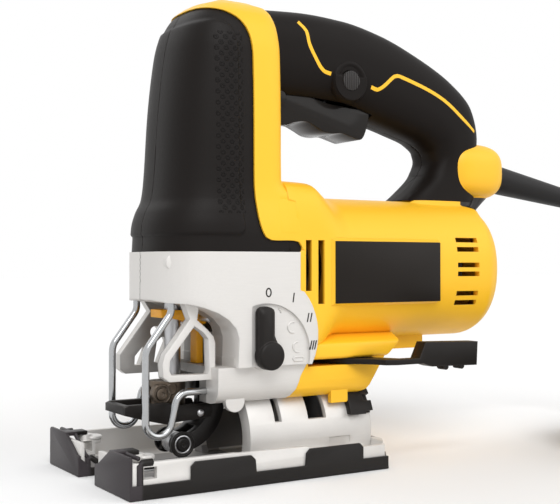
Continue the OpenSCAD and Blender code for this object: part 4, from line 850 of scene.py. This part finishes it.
BOOT_REAR = Stations([(94, 19), (99.3, 13), (100.6, 1.2), (103.5, -0.6), (109, -2), (122, -2.9), (178, -3),
                      (186.5, -4.2), (192.5, -7.5), (196.2, -13), (198.2, -20), (200.4, -60)])
BOOT_PANEL_FLOOR, BOOT_PANEL_TOP, BOOT_PANEL_CORNER = 100.9, 197, 6.0
BOOT_BOTTOM, BOOT_FOOT_X, BOOT_FOOT_TOP = 94.4, 11.5, 95.9
RIM_WIDTH = 6.6
RIM_DEPTH = 0.95
# the stretch where the tower runs into the barrel, and the part of it that lies under the fairings
CORNER_X0, CORNER_X1, CORNER_LOW, CORNER_HIGH, CORNER_FADE = 4.0, 24.0, 60, 127, 119
CORNER_SPLIT = 13
COVERED_X, COVERED_Z, COVERED_DEPTH = (9.8, 16.4), (103.4, 116.6), 0.8


class Outline:
    """A line of straight stretches and the smooth curve through its points, seen from the side.

    Over its last stretch the curve may also be drawn out by tail.
    """

    def __init__(self, points, tail=(0, 0)):
        p = np.array(points, float)
        last = len(p) - 1
        t = np.linspace(0, last, last * 12 + 1)
        i = np.minimum(t.astype(int), last - 1)
        u = (t - i)[:, None]
        a, b = p[i], p[i + 1]
        before, after = p[np.maximum(i - 1, 0)], p[np.minimum(i + 2, last)]
        lead, trail = (b - before) / 2, (after - a) / 2
        span = np.linalg.norm(b - a, axis=1)[:, None]
        lead *= np.minimum(1, span / np.maximum(np.linalg.norm(lead, axis=1), 1e-6)[:, None])
        trail *= np.minimum(1, span / np.maximum(np.linalg.norm(trail, axis=1), 1e-6)[:, None])
        self.straight = a + (b - a) * u
        along_last = np.clip(t - last + 1, 0, 1)[:, None]
        self.shift = hermite(u, a, lead, b, trail) - self.straight + np.array(tail) * along_last ** 2

    def smooth(self, points, reach):
        """Points moved with the line's nearest stretch as it turns into the curve."""
        flat = points[:, [0, 2]]
        gap = np.linalg.norm(flat[:, None] - self.straight[None], axis=2)
        near = gap.argmin(axis=1)
        away = gap[np.arange(len(flat)), near]
        share = 1 - ease_between(away, 1.2, reach)
        moved = points.copy()
        moved[:, [0, 2]] += self.shift[near] * share[:, None]
        return moved


BOOT_OUTLINE = Outline([
    (15, 99.2), (12.6, 99.3), (4, 99.3), (1.2, 100.6), (-0.6, 103.5), (-2, 109), (-2.9, 122), (-2.95, 150), (-3, 178),
    (-4.2, 186.5), (-7.5, 192.5), (-13, 196.2), (-20, 198.2),
])
BOOT_END = Outline([(15, 99.2), (17.6, 98.6), (19, 96.5), (19, 95.2)])
HANDLE_LINES = [
    Outline([(28.5, 198), (31.9, 194), (33.3, 187.7), (38.6, 179.3), (41.6, 176.8), (45.3, 176.1)]),
    Outline([(68.4, 172.2), (72.1, 171.3), (75.8, 173.3), (81.6, 178.1), (84.9, 178.7), (101.3, 174.4), (112.6, 170.1),
             (121.9, 164.6), (131.3, 157.3)], tail=(4.5, -1)),
]


def smooth_boot_edge(points):
    """The front grip's outline without its corners."""
    return BOOT_END.smooth(BOOT_OUTLINE.smooth(points, 5), 2.5)


def smooth_handle_lines(points):
    for line in HANDLE_LINES:
        points = line.smooth(points, 6)
    return points


def smooth_housing_edges(points):
    return smooth_handle_lines(smooth_boot_edge(points))


def boot_relief(points, out):
    """The border round the boot's raised panel lies a little lower."""
    x, z = points[:, 0], points[:, 2]
    from_rear = BOOT_REAR(z)[0] - x
    from_foot = z - BOOT_PANEL_FLOOR
    from_top = BOOT_PANEL_TOP + (x + 15) * 0.12 - z
    corner = BOOT_PANEL_CORNER
    a = np.maximum(corner - (from_rear - RIM_WIDTH), 0)
    b = np.maximum(corner - from_foot, 0)
    c = np.maximum(corner - (from_top - RIM_WIDTH * 0.6), 0)
    inside = corner - np.maximum(np.hypot(a, b), np.hypot(a, c))
    return set_in(points, out, RIM_DEPTH * (1 - ease_between(inside, -0.1, 1.1)))


def corner_width(x, z):
    """Half the width where the tower runs into the barrel: as the two skins give it, and made smooth."""
    _, tower_half, rear = TOWER(z)
    mid = rear - TOWER_REAR
    tower = tower_half * (1 - np.clip((CORNER_X0 - mid) / TOWER_REAR, 0, 1) ** 5) ** 0.2
    here = tower_half * np.maximum(1 - np.clip((x - mid) / TOWER_REAR, 0, 1) ** 5, 0) ** 0.2
    barrel, barrel_here = barrel_half(np.full(len(x), CORNER_X1), z), barrel_half(x, z)
    goal = tower + (barrel - tower) * ease_between(x, CORNER_X0, CORNER_X1)
    now = np.where(x < CORNER_SPLIT, here, np.maximum(here * (x < rear), barrel_here))
    return now, now + (goal - now) * (1 - ease_between(z, CORNER_FADE, CORNER_HIGH))


def fill_corner(points, out):
    """The tower's rear corner runs on smoothly into the motor barrel."""
    x, y, z = points.T
    now, wanted = corner_width(x, z)
    grow = np.where((x > CORNER_X0) & (x < CORNER_X1) & (now > 1), wanted / np.maximum(now, 1), 1)
    on_barrel = np.abs(out[:, 2]) > 1e-6
    side = np.abs(y)
    moved = np.where(on_barrel, side * np.clip(grow, 1, 1.6), np.maximum(side, wanted))
    covered = between(x, *COVERED_X) & between(z, *COVERED_Z)
    moved = np.where(covered, np.minimum(moved, wanted) - COVERED_DEPTH, moved)
    corner = between(x, CORNER_X0, CORNER_X1) & between(z, CORNER_LOW, CORNER_HIGH)
    corner &= (np.abs(out[:, 1]) > 0.03) & (side > 4)
    return np.stack([x, np.where(corner, np.sign(y) * moved, y), z], 1)


def barrel_half(x, z):
    """The motor barrel's half width at a height."""
    mid, tall, half, n = BODY(x)
    return half * np.maximum(1 - np.clip(np.abs(z - mid) / tall, 0, 1) ** n, 0) ** (1 / n)


def boot_surface(points, out):
    """The front grip: its foot let down to the case, its corner filled and its rim lowered."""
    x, z = points[:, 0], points[:, 2]
    foot = (x > BOOT_FOOT_X) & (z < BOOT_FOOT_TOP)
    points = points.copy()
    points[foot, 2] = BOOT_BOTTOM
    return boot_relief(fill_corner(points, out), out)


def shell_surface(points, out):
    """The housing: its corner filled, and its lip under the grip's foot set in."""
    lip = between(points[:, 0], BOOT_FOOT_X, 19.3) & between(points[:, 2], 93.9, 95.6)
    return set_in(fill_corner(points, out), out, np.where(lip, 1.1, 0))


BOSS_X, BOSS_Z, BOSS_REACH, BOSS_SIDE = -35.6, 90.0, 3.2, -14


def gather_at_boss(points, out):
    """The left case's skin over its front screw boss is drawn to a point on the boss's axis.

    The boss itself, 3.4 in radius, stands out of the skin by up to 1.2 in front of that point.
    """
    near = (np.hypot(points[:, 0] - BOSS_X, points[:, 2] - BOSS_Z) < BOSS_REACH) & (points[:, 1] < BOSS_SIDE)
    flat = points.copy()
    flat[near, 0], flat[near, 2] = BOSS_X, BOSS_Z
    on, _, _ = case_skin(flat)
    return np.where(near[:, None], on, points)


def join_near(work, chosen, distance):
    """Chosen vertices nearer to each other than distance become one."""
    verts = [v for v in work.verts if chosen(v.co / MM)]
    bmesh.ops.remove_doubles(work, verts=verts, dist=distance * MM)


FAIR_X, FAIR_Z, FAIR_LONG, FAIR_TALL, FAIR_THICK = 5.6, 99.8, 15, 19.2, 1.4
FAIR_LIFT, FAIR_DROP, FAIR_EDGE = 0.07, 0.3, 3.6


def round_the_rim(grid):
    """The vertices round the edge of a grid of them."""
    return [*grid[:, 0], *grid[-1, 1:], *grid[-2::-1, -1], *grid[0, -2:0:-1]]


def corner_fairings():
    """The smooth skins that cover the joint between the tower and the barrel."""
    work = bmesh.new()
    us, vs = np.linspace(0, 1, 25), np.linspace(0, 1, 41)
    u, v = (grid.ravel() for grid in np.meshgrid(us, vs, indexing="ij"))
    x, z = FAIR_X + FAIR_LONG * u, FAIR_Z + FAIR_TALL * v
    _, wide = corner_width(x, z)
    rim = np.minimum(np.minimum(u, 1 - u) * FAIR_LONG, np.minimum(v, 1 - v) * FAIR_TALL)
    outer = wide + FAIR_LIFT - FAIR_DROP * (1 - ease_between(rim, 0, FAIR_EDGE))
    for side in (-1, 1):
        sheets = []
        for y in (outer, wide - FAIR_THICK):
            row = [work.verts.new((px * MM, side * py * MM, pz * MM)) for px, py, pz in zip(x, y, z)]
            sheets.append(np.array(row, dtype=object).reshape(len(us), len(vs)))
        for sheet in sheets:
            for i in range(len(us) - 1):
                for j in range(len(vs) - 1):
                    work.faces.new((sheet[i, j], sheet[i + 1, j], sheet[i + 1, j + 1], sheet[i, j + 1]))
        skin_rings(work, [round_the_rim(sheet) for sheet in sheets])
    small_piece("corner_fairings", work, "housing", "housing", angle=60)


REAR_FROM, REAR_SHARE = 121.0, 0.5
# above the first height the drawing in fades, and from the second there is none
REAR_FADE = 112, 124


def shorten_rear(work):
    """The barrel's rear dome drawn in to its flatter end, and the handle's foot with it."""
    for v in work.verts:
        x, z = v.co.x / MM, v.co.z / MM
        if x > REAR_FROM:
            amount = (1 - REAR_SHARE) * (1 - float(ease_between(z, *REAR_FADE)))
            v.co.x = (x - (x - REAR_FROM) * amount) * MM


PAD_X, PAD_Z, PAD_SIDE = (34, 95), (70.7, 100.9), 31.4
PAD_TOP_X, PAD_TOP_Z = (35.3, 93.7), (72.1, 99.5)


def fair_panel_pad(work):
    """The margin of the panel's pad slopes down onto the barrel."""
    for v in work.verts:
        x, y, z = v.co / MM
        on_pad = between(x, *PAD_X) and between(z, *PAD_Z) and abs(y) > PAD_SIDE
        if on_pad and not (PAD_TOP_X[0] <= x <= PAD_TOP_X[1] and PAD_TOP_Z[0] <= z <= PAD_TOP_Z[1]):
            skin = float(barrel_half(np.array([x]), np.array([z]))[0])
            if abs(y) > skin:
                v.co.y = math.copysign(skin + 0.04, y) * MM


def housing_shells():
    for side in ("left", "right"):
        work = smooth_node(side + "_housing", [tower_skin, body_skin, handle_skin], before=smooth_housing_edges,
                           after=shell_surface)
        shorten_rear(work)
        fair_panel_pad(work)
        finished(side + "_shell", work, "housing", "housing", replaced=[side + "_housing"])
        work = smooth_node(side + "_front_grip", [tower_skin, body_skin], edge=1.3, before=smooth_boot_edge,
                           after=boot_surface)
        boot = finished(side + "_boot", work, "grip", "housing", replaced=[side + "_front_grip"])
        boot.data.materials[0] = finish_for("boot")
        work = smooth_node(side + "_handle_grip", [handle_skin], edge=1.8, before=smooth_handle_lines)
        shorten_rear(work)
        finished(side + "_handle_rubber", work, "grip", "housing", replaced=[side + "_handle_grip"])
        work = smooth_node(side + "_gear_case", [case_skin], edge=3.5, reach=0.9, facing=0.75, after=gather_at_boss)
        join_near(work, lambda p: math.hypot(p.x - BOSS_X, p.z - BOSS_Z) < 1 and abs(p.y) > 15, 0.5)
        round_edges(work, 0.6, case_leg)
        round_edges(work, 1.5, case_mouth)
        finished(side + "_case", work, "case", "housing", replaced=[side + "_gear_case"])


LEG_TOP, LEG_HALF = 72.5, 24.5
MOUTH_X, MOUTH_Z = -11, (46.6, 75)


def case_leg(edge):
    """Edges of the case below its deck, away from its outer wall."""
    a, b = edge.verts
    return max(a.co.z, b.co.z) < LEG_TOP * MM and max(abs(a.co.y), abs(b.co.y)) < LEG_HALF * MM


def case_mouth(edge):
    """The lip where the case's outer wall turns in over the blade's room."""
    a, b = edge.verts
    middle = (a.co + b.co) / 2 / MM
    _, far, _ = case_skin(np.array([middle]))
    return middle.x < MOUTH_X and between(middle.z, *MOUTH_Z) and abs(middle.y) > 1 and far[0] < 0.5


def button_collar():
    """The soft raised ring round the lock button."""
    work = bmesh.new()
    profile = [(10.4, -14.6), (9.6, -16.4), (8.9, -17.2), (8.0, -17.55), (7.2, -17.4), (6.5, -16.9), (5.7, -16.6),
               (4.85, -16.6), (4.85, -14.2)]
    turned(work, BUTTON_X, BUTTON_Z, profile, 64, closed=True)
    small_piece("button_collar", work, "grip", "housing", angle=50)


# ---------------------------------------------------------------- pieces with softened edges

def softened(name, edge):
    """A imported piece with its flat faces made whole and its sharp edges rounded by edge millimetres."""
    work = start_mesh(name)
    bmesh.ops.dissolve_limit(work, angle_limit=0.002, verts=work.verts, edges=work.edges, delimit=set())
    if name in RESHAPED:
        RESHAPED[name](work)
    round_edges(work, edge)
    made = finished(name + "_piece", work, SLOT_OF[name], BODY_OF[name], replaced=[name])
    if name in OWN_FINISH:
        made.data.materials[0] = finish_for(OWN_FINISH[name])


EDGE_OF = {
    "sole_casting": 0.5, "bevel_barrel": 0.5, "shoe_cover": 0.6, "detent_ring": 0.4, "trigger": 1.1, "bevel_lever": 0.9,
    "blade_clamp": 0.4, "guide_fork": 0.5, "roller_arm": 0.5, "guide_roller": 0.3, "blade_release": 0.5,
    "side_panels": 0.3, "lock_button": 0.3, "bevel_bolt": 0.3, "clamp_shoe": 0.3, "roller_pin": 0.3, "release_pin": 0.3,
    "housing_screws": 0.2, "case_screws": 0.2, "plunger": 0.2, "yoke": 0.3,
}
SHELLS = [side + part for side in ("left_", "right_") for part in ("housing", "front_grip", "handle_grip", "gear_case")]
CORD_NODES = ["lead", "lead_coil", "coil_tie", "plug_body", "plug_pins"]


WIRE_X, WIRE_Y, WIRE_R, DECK_TOP = -35.4, 17.5, 1.55, 75.4
# straight length, bend radius and bend of the guard wire, from the deck downwards
WIRE_BENDS = [(4.4, 6, 37), (14.35, 8, -37), (26.8, 5.8, -166.4), (9, 5.5, 76.4), (10.7, 5, 0)]


def wire_route():
    x, z, heading = WIRE_X, DECK_TOP, 180.0
    route = [(x, z)]
    for length, radius, bend in WIRE_BENDS:
        h = math.radians(heading)
        x, z = x + length * math.sin(h), z + length * math.cos(h)
        side = -1 if bend < 0 else 1
        middle = (x + side * radius * math.cos(h), z - side * radius * math.sin(h))
        steps = max(1, int(abs(bend) / 5))
        for k in range(steps + 1):
            h = math.radians(heading + bend * k / steps)
            x, z = middle[0] - side * radius * math.cos(h), middle[1] + side * radius * math.sin(h)
            route.append((x, z))
        heading += bend
    return route


def guard_wires():
    """The two bent wires in front of the blade."""
    routes = [[(x, side * WIRE_Y, z) for x, z in wire_route()] for side in (-1, 1)]
    wires = place("guard_wires", round_line("guard_wires", routes, WIRE_R, 6), "wire", "housing")
    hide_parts("wire_guard")


def prism(work, outline, y0, y1, top=None):
    """A flat shape in the XZ plane made solid from y0 to y1; top is its outline at y1."""
    near, far = ([work.verts.new((x * MM, y * MM, z * MM)) for x, z in line]
                 for line, y in ((outline, y0), (top or outline, y1)))
    solid_between(work, near, far)


def circle(sides):
    """The angles of evenly spaced points round a circle."""
    return [2 * math.pi * i / sides for i in range(sides)]


def turned(work, x, z, profile, sides=48, closed=False):
    """A shape turned about the line through x, z along Y; profile holds radius and y."""
    rows = []
    for r, y in profile:
        if r == 0:
            rows.append([work.verts.new((x * MM, y * MM, z * MM))] * sides)
        else:
            rows.append([work.verts.new(((x + r * math.cos(a)) * MM, y * MM, (z + r * math.sin(a)) * MM))
                         for a in circle(sides)])
    skin_rings(work, rows, closed)


def turned_on_both_sides(work, x, z, profile, sides=48):
    for side in (-1, 1):
        turned(work, x, z, [(r, side * y) for r, y in profile], sides)


def small_piece(name, work, slot, body, angle=35, edge=0):
    bmesh.ops.recalc_face_normals(work, faces=work.faces)
    if edge:
        round_edges(work, edge)
    return finished(name, work, slot, body, angle)


def rod(work, route, radius, sides=14):
    """A round rod along a route with rounded ends."""
    points = [Vector(p) for p in route]
    rows = []
    for i, p in enumerate(points):
        along = (points[min(i + 1, len(points) - 1)] - points[max(i - 1, 0)]).normalized()
        across = along.orthogonal() if i == 0 else (across - along * across.dot(along))
        across.normalize()
        other = along.cross(across)
        rows.append([work.verts.new((p + across * radius * math.cos(a) + other * radius * math.sin(a)) * MM)
                     for a in circle(sides)])
    skin_rings(work, rows)
    for row, end, back in ((rows[0], points[0], points[1]), (rows[-1], points[-1], points[-2])):
        tip = work.verts.new((end + (end - back).normalized() * radius * 0.6) * MM)
        for k in range(sides):
            work.faces.new((row[k], row[(k + 1) % sides], tip))


def case_side(x):
    """How far out the gear case's side stands."""
    return CASE_HALF * (1 - (abs(x - CASE_X) / CASE_REAR) ** 6) ** (1 / 6)


def mark_stroke(work, x, z, width, height, lean):
    """A leaning stroke that stands a hair out of the gear case's side."""
    t = math.tan(math.radians(lean)) * height / 2
    outline = [(x - t - width / 2, z - height / 2), (x - t + width / 2, z - height / 2),
               (x + t + width / 2, z + height / 2), (x + t - width / 2, z + height / 2)]
    prism(work, outline, -case_side(x) + 0.4, -case_side(x) - 0.07)


RING_X, RING_Z, MARK_BACK, MARK_FACE = 2.1, 77.3, -32.8, -33.27
# place, width, height and lean of the strokes
STROKES = [(14.5, 75, 0.6, 4, 8), (21.9, 66.3, 0.6, 3.9, 12), (23.5, 66.3, 0.6, 3.9, 12), (23.4, 54.4, 0.62, 3.9, 14),
           (24.6, 54.4, 0.62, 3.9, 14), (25.8, 54.4, 0.62, 3.9, 14)]


def selector_marks():
    """The four settings marked beside the selector: a ring, then one, two and three strokes."""
    work = bmesh.new()
    rings = [[work.verts.new(((RING_X + rx * math.cos(a)) * MM, y * MM, (RING_Z + rz * math.sin(a)) * MM))
              for a in circle(40)]
             for rx, rz, y in ((1.45, 2.0, MARK_BACK), (1.45, 2.0, MARK_FACE), (0.85, 1.4, MARK_FACE),
                               (0.85, 1.4, MARK_BACK))]
    skin_rings(work, rings, closed=True)
    for x, z, width, height, lean in STROKES:
        mark_stroke(work, x, z, width, height, lean)
    small_piece("selector_marks", work, "black_plastic", "housing")


RECESS_Y = -31.9


def recess_rod(work, route):
    rod(work, [(x, RECESS_Y + 0.1, z) for x, z in route], 0.55, 10)


def selector_embossing():
    """Small raised hooks and a slot shape cast on the selector's recessed quarter."""
    work = bmesh.new()
    for x, z, r, a0, a1 in ((14.8, 62.3, 2.3, 70, 290), (17.3, 53.9, 2.2, 90, 290)):
        recess_rod(work, [(x + r * math.cos(math.radians(a)), z + r * math.sin(math.radians(a)))
                          for a in range(a0, a1 + 1, 20)])
    recess_rod(work, [(15.6, 49.6), (15.1, 48.8), (15.6, 48), (19.8, 48), (20.5, 48.8), (19.8, 49.6), (15.6, 49.6)])
    recess_rod(work, [(7.9, 70.3), (8.8, 69.7), (8.9, 68.8)])
    small_piece("selector_embossing", work, "case", "housing")


HUB_X, HUB_Z = 1.4, 51.0
LEVER_BACK, LEVER_EDGE, LEVER_FACE = -32.8, -35.6, -37.2


def selector_lever():
    """The selector's knob: a ridged lever with wide bevels and a round hub."""
    work = bmesh.new()
    outline = [(-5.6, -1), (-5.6, 18.2), (-4.9, 19.6), (-3.6, 20.4), (-1.4, 20.6), (0.8, 20), (2.0, 19.2), (2.4, 18),
               (2.4, 8.4), (3.2, 6.4), (4.6, 4), (3, 0), (-2, -3)]
    top = [(-3.9, -0.4), (-3.9, 16.4), (-3.6, 17.2), (-3.0, 17.9), (-1.6, 18.2), (-0.6, 17.8), (0.0, 17.0),
           (0.2, 16.2), (0.2, 8.6), (0.4, 6.8), (1.4, 4.4), (1.2, 0.4), (-1.6, -1.4)]
    outline, top = ([(HUB_X + x, HUB_Z + z) for x, z in points] for points in (outline, top))
    prism(work, outline, LEVER_BACK, LEVER_EDGE)
    prism(work, outline, LEVER_EDGE, LEVER_FACE, top)
    hub = [(0, LEVER_BACK), (6, LEVER_BACK), (6, -37.3), (5.6, -37.9), (4.9, -38.2), (0, -38.2)]
    turned(work, HUB_X, HUB_Z, hub)
    turned(work, HUB_X, HUB_Z, [(0, -12.3), (4, -12.3), (4, -33), (0, -33)], 32)
    knob = small_piece("selector_lever", work, "black_plastic", "selector", edge=0.25)
    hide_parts("selector_knob")


KNUCKLE_AT, KNUCKLE_HALF, KNUCKLE_SQUARENESS = (138.2, 0, 136.4), (19.4, 17.4, 14.4), 3.0


def lead_knuckle():
    """The yellow bulge where the lead leaves, standing out through the handle's rubber."""
    work = bmesh.new()
    bmesh.ops.create_icosphere(work, subdivisions=5, radius=1)
    n = KNUCKLE_SQUARENESS
    for v in work.verts:
        x, y, z = v.co
        share = (abs(x) ** n + abs(y) ** n + abs(z) ** n) ** (1 / n)
        v.co = Vector([c + r * d / share for c, r, d in zip(KNUCKLE_AT, KNUCKLE_HALF, (x, y, z))]) * MM
    small_piece("lead_knuckle", work, "housing", "housing", angle=60)


def clamp_bosses():
    """Ringed bosses with a screw on both sides of the blade clamp."""
    work = bmesh.new()
    profile = [(4.4, 3.2), (4.4, 6.0), (4.0, 6.4), (3.5, 6.4), (3.2, 6.0), (2.9, 6.0), (2.6, 6.9), (2.2, 7.1),
               (0.9, 7.1), (0.7, 6.7), (0, 6.7)]
    turned_on_both_sides(work, -34.2, 34.2, profile)
    turned_on_both_sides(work, -29.6, 36.2, [(2.6, 3), (2.6, 5.8), (2.2, 6.2), (0, 6.2)], 32)
    small_piece("clamp_bosses", work, "bronze_steel", "plunger")


def fork_rivets():
    """Domed rivets through the guide fork."""
    work = bmesh.new()
    turned_on_both_sides(work, -18.4, 25.8, [(1.6, 10.2), (1.6, 11.1), (1.3, 11.5), (0.7, 11.7), (0, 11.75)], 28)
    small_piece("fork_rivets", work, "steel", "guide_arm")


ROLLER_X, ROLLER_Z = -25.5, 12.56


def roller_rims():
    """Stepped rims round the roller's axle on the arm's cheeks, with a bright ring let into each."""
    dark, bright = bmesh.new(), bmesh.new()
    for work, profile in (
            (dark, [(5.4, 7.2), (5.6, 8.3), (5.2, 8.9), (4.5, 8.9), (4.2, 8.4), (3.9, 8.4)]),
            (dark, [(3.1, 8.4), (2.9, 9.2), (2.4, 9.6), (1.0, 9.6), (0.8, 9.2), (0, 9.2)]),
            (bright, [(4.0, 8.0), (3.9, 8.6), (3.5, 8.75), (3.2, 8.6), (3.0, 8.0)])):
        turned_on_both_sides(work, ROLLER_X, ROLLER_Z, profile)
    small_piece("roller_rims", dark, "black_metal", "guide_arm")
    small_piece("roller_bright_rings", bright, "steel", "guide_arm")


FORK_Z, FORK_Y, NOSE_X = 63, 4.6, -33
FRONT_SCREW_X, FRONT_HEAD_Y = -30, 16.4
PANEL_REAR, PANEL_REAR_SHIFT, PANEL_FOOT, PANEL_FOOT_SHIFT = 64, 1.3, 80, 0.3
PADDLE_X, PADDLE_TOP, PADDLE_FLOOR = 78, 44.3, 43.3


def narrow_release(work):
    """The release's fork stands close to the plunger, and its nose is short."""
    for v in work.verts:
        y, x = abs(v.co.y) / MM, v.co.x / MM
        if v.co.z > FORK_Z * MM and y > FORK_Y:
            v.co.y = math.copysign(4.2 + (y - 5) * 0.3, v.co.y) * MM
        if x < NOSE_X:
            v.co.x = (NOSE_X + (x - NOSE_X) * 0.15) * MM


def lower_front_screw(work):
    """The front case screw's head is 1.2 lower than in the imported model, and its socket 0.2 deep, not 1.4."""
    for v in work.verts:
        if v.co.x < FRONT_SCREW_X * MM:
            v.co.y = min(v.co.y, FRONT_HEAD_Y * MM)


def cover_panel_pocket(work):
    """The panel reaches over its pad's rear margin and a little over the lower one."""
    for v in work.verts:
        if v.co.x > PANEL_REAR * MM:
            v.co.x += PANEL_REAR_SHIFT * MM
        if v.co.z < PANEL_FOOT * MM:
            v.co.z -= PANEL_FOOT_SHIFT * MM


def straighten_paddle(work):
    """The bevel lever's paddle has a flat underside."""
    for v in work.verts:
        if v.co.x > PADDLE_X * MM and v.co.z < PADDLE_TOP * MM:
            v.co.z = (PADDLE_FLOOR - (v.co.x / MM - 80) * 0.02) * MM


def paddle_feet():
    """Two small feet under the bevel lever's paddle."""
    work = bmesh.new()
    for x in (88.8, 98.2):
        turned(work, x, 42.8, [(0, -45.6), (1.1, -45.6), (1.5, -45.2), (1.5, -40.4), (1.1, -40.0), (0, -40.0)], 24)
    small_piece("paddle_feet", work, "black_plastic", "bevel_lever")


CHEEK_X0, CHEEK_X1, CHEEK_FLOOR, CHEEK_LEAN = 24.0, 66.7, 47.8, 1.1


def belly_cheeks():
    """The flat cheeks that join the motor barrel to the belly above the bevel lever."""
    work = bmesh.new()
    section = [(14, 47.8), (29.8, 47.8), (30.6, 48.6), (30.6, 53.4), (30, 54.4), (28.8, 55), (20, 57.6), (14, 57.6)]
    for side in (-1, 1):
        near, far = ([work.verts.new(((x + (z - CHEEK_FLOOR) * lean) * MM, side * y * MM, z * MM))
                      for y, z in section] for x, lean in ((CHEEK_X0, 0), (CHEEK_X1, CHEEK_LEAN)))
        solid_between(work, near, far)
    small_piece("belly_cheeks", work, "housing", "housing", edge=0.5)


FRONT_X = -62.0
POST_X, POST_Y = -52, 27.6


def prong_rims():
    """The thick rolled rims of the shoe's black cover, round the fronts of its two prongs."""
    work = bmesh.new()
    outside = [(6.4, 42.9, 13.8), (2.4, 42.9, 13.8), (1.2, 42.9, 12.8), (1.2, 43.0, 3.4), (1.2, 42.9, 2.2),
               (2.2, 42.9, 1.7), (5, 43, 1.5), (16, 43, 1.5)]
    inside = [(9, 10.1, 3.2), (5, 10.1, 5.6), (2.4, 10.1, 7.6), (1.2, 10.2, 7.0), (1.1, 10.1, 2.4)]
    top = [(1.1, 11.2, 7.9), (1.1, 12.6, 8.2), (1.1, 18.5, 11.7), (1.1, 24.6, 15.2), (1.1, 30, 15.4), (1.1, 42, 15.4)]
    for side in (-1, 1):
        for route, radius in ((outside, 1.45), (inside, 1.2), (top, 0.9)):
            rod(work, [(FRONT_X + x, side * y, z) for x, y, z in route], radius)
    small_piece("prong_rims", work, "cover", "shoe", angle=60)


def prong_posts():
    """Collars and pads round the posts at the front of the casting."""
    work = bmesh.new()
    for side in (-1, 1):
        for r, z0, z1 in ((4.3, 3.0, 4.6), (3.9, 10.6, 12.2), (4.2, 12.2, 13.9)):
            rows = []
            for radius, z in ((r - 0.4, z0), (r, z0 + 0.4), (r, z1 - 0.4), (r - 0.4, z1)):
                rows.append([work.verts.new(((POST_X + radius * math.cos(a)) * MM,
                                             (side * POST_Y + radius * math.sin(a)) * MM, z * MM))
                             for a in circle(32)])
            skin_rings(work, rows)
            work.faces.new(rows[0][::-1])
            work.faces.new(rows[-1])
    small_piece("prong_posts", work, "cast", "shoe")


# dark plates put inside the barrel as painted shade behind its slots
SHADE_PLATE_SPANS, SHADE_PLATE_FOOT, SHADE_PLATE_TOP = ((14.5, 24.6), (38.4, 52)), 4, 36.6


def barrel_slot_shades():
    """Dark plates standing inside the bevel barrel behind its slots: painted shade seen through them."""
    work = bmesh.new()
    for x0, x1 in SHADE_PLATE_SPANS:
        outline = [(x0, SHADE_PLATE_FOOT), (x1, SHADE_PLATE_FOOT), (x1, SHADE_PLATE_TOP), (x0, SHADE_PLATE_TOP)]
        prism(work, outline, -0.5, 0.5)
    small_piece("barrel_slot_shades", work, "black_metal", "shoe", edge=0.2)


TRIGGER_LINE = Outline([
    (15, 162), (15, 155.4), (17, 152.6), (24, 151.9), (30, 153.6), (36, 154.4), (41, 152.6), (46, 150.3),
    (51, 149.8), (56, 150.3), (61.5, 149), (66.5, 147.9), (68.6, 149.6), (70.4, 154), (71.6, 159.4),
])
TRIGGER_SIDE, TRIGGER_ROOT = 9, 159.6


def smooth_trigger(work):
    """The trigger's underside follows a smooth line for the fingers."""
    def on_side(v):
        return abs(v.co.y) > TRIGGER_SIDE * MM and v.co.z < TRIGGER_ROOT * MM

    long = [e for e in work.edges if len(e.link_faces) == 2
            and all(on_side(v) and abs(v.co.y) / MM < 10.6 for v in e.verts)
            and e.calc_length() > 1.5 * MM and e.calc_face_angle(0) > 1]
    bmesh.ops.subdivide_edges(work, edges=long, cuts=3)
    verts = [v for v in work.verts if on_side(v)]
    points = TRIGGER_LINE.smooth(np.array([v.co for v in verts], float) / MM, 6)
    for v, point in zip(verts, points):
        v.co = Vector(point) * MM


RESHAPED = {"blade_release": narrow_release, "trigger": smooth_trigger, "case_screws": lower_front_screw,
            "side_panels": cover_panel_pocket, "bevel_lever": straighten_paddle, "housing_screws": shorten_rear}
OWN_FINISH = {"trigger": "trigger"}
OWN_SHAPE = ["wire_guard", "selector_knob"]


def hard_pieces():
    for name in NODES:
        if name not in SHELLS + CORD_NODES + OWN_SHAPE:
            softened(name, EDGE_OF.get(name, 0))


SMALL_PIECES = [selector_marks, selector_embossing, selector_lever, lead_knuckle, clamp_bosses, fork_rivets,
                roller_rims, prong_rims, prong_posts, barrel_slot_shades, paddle_feet, belly_cheeks, corner_fairings]


# ---------------------------------------------------------------- the scene

bpy.context.scene.view_settings.view_transform = "Standard"
stand_camera()
light_studio()
lay_floor()
mains_lead()
housing_shells()
button_collar()
hard_pieces()
guard_wires()
for make in SMALL_PIECES:
    make()
for name, node in NODES.items():
    node.data.materials.clear()
    node.data.materials.append(finish_for(SLOT_OF[name]))
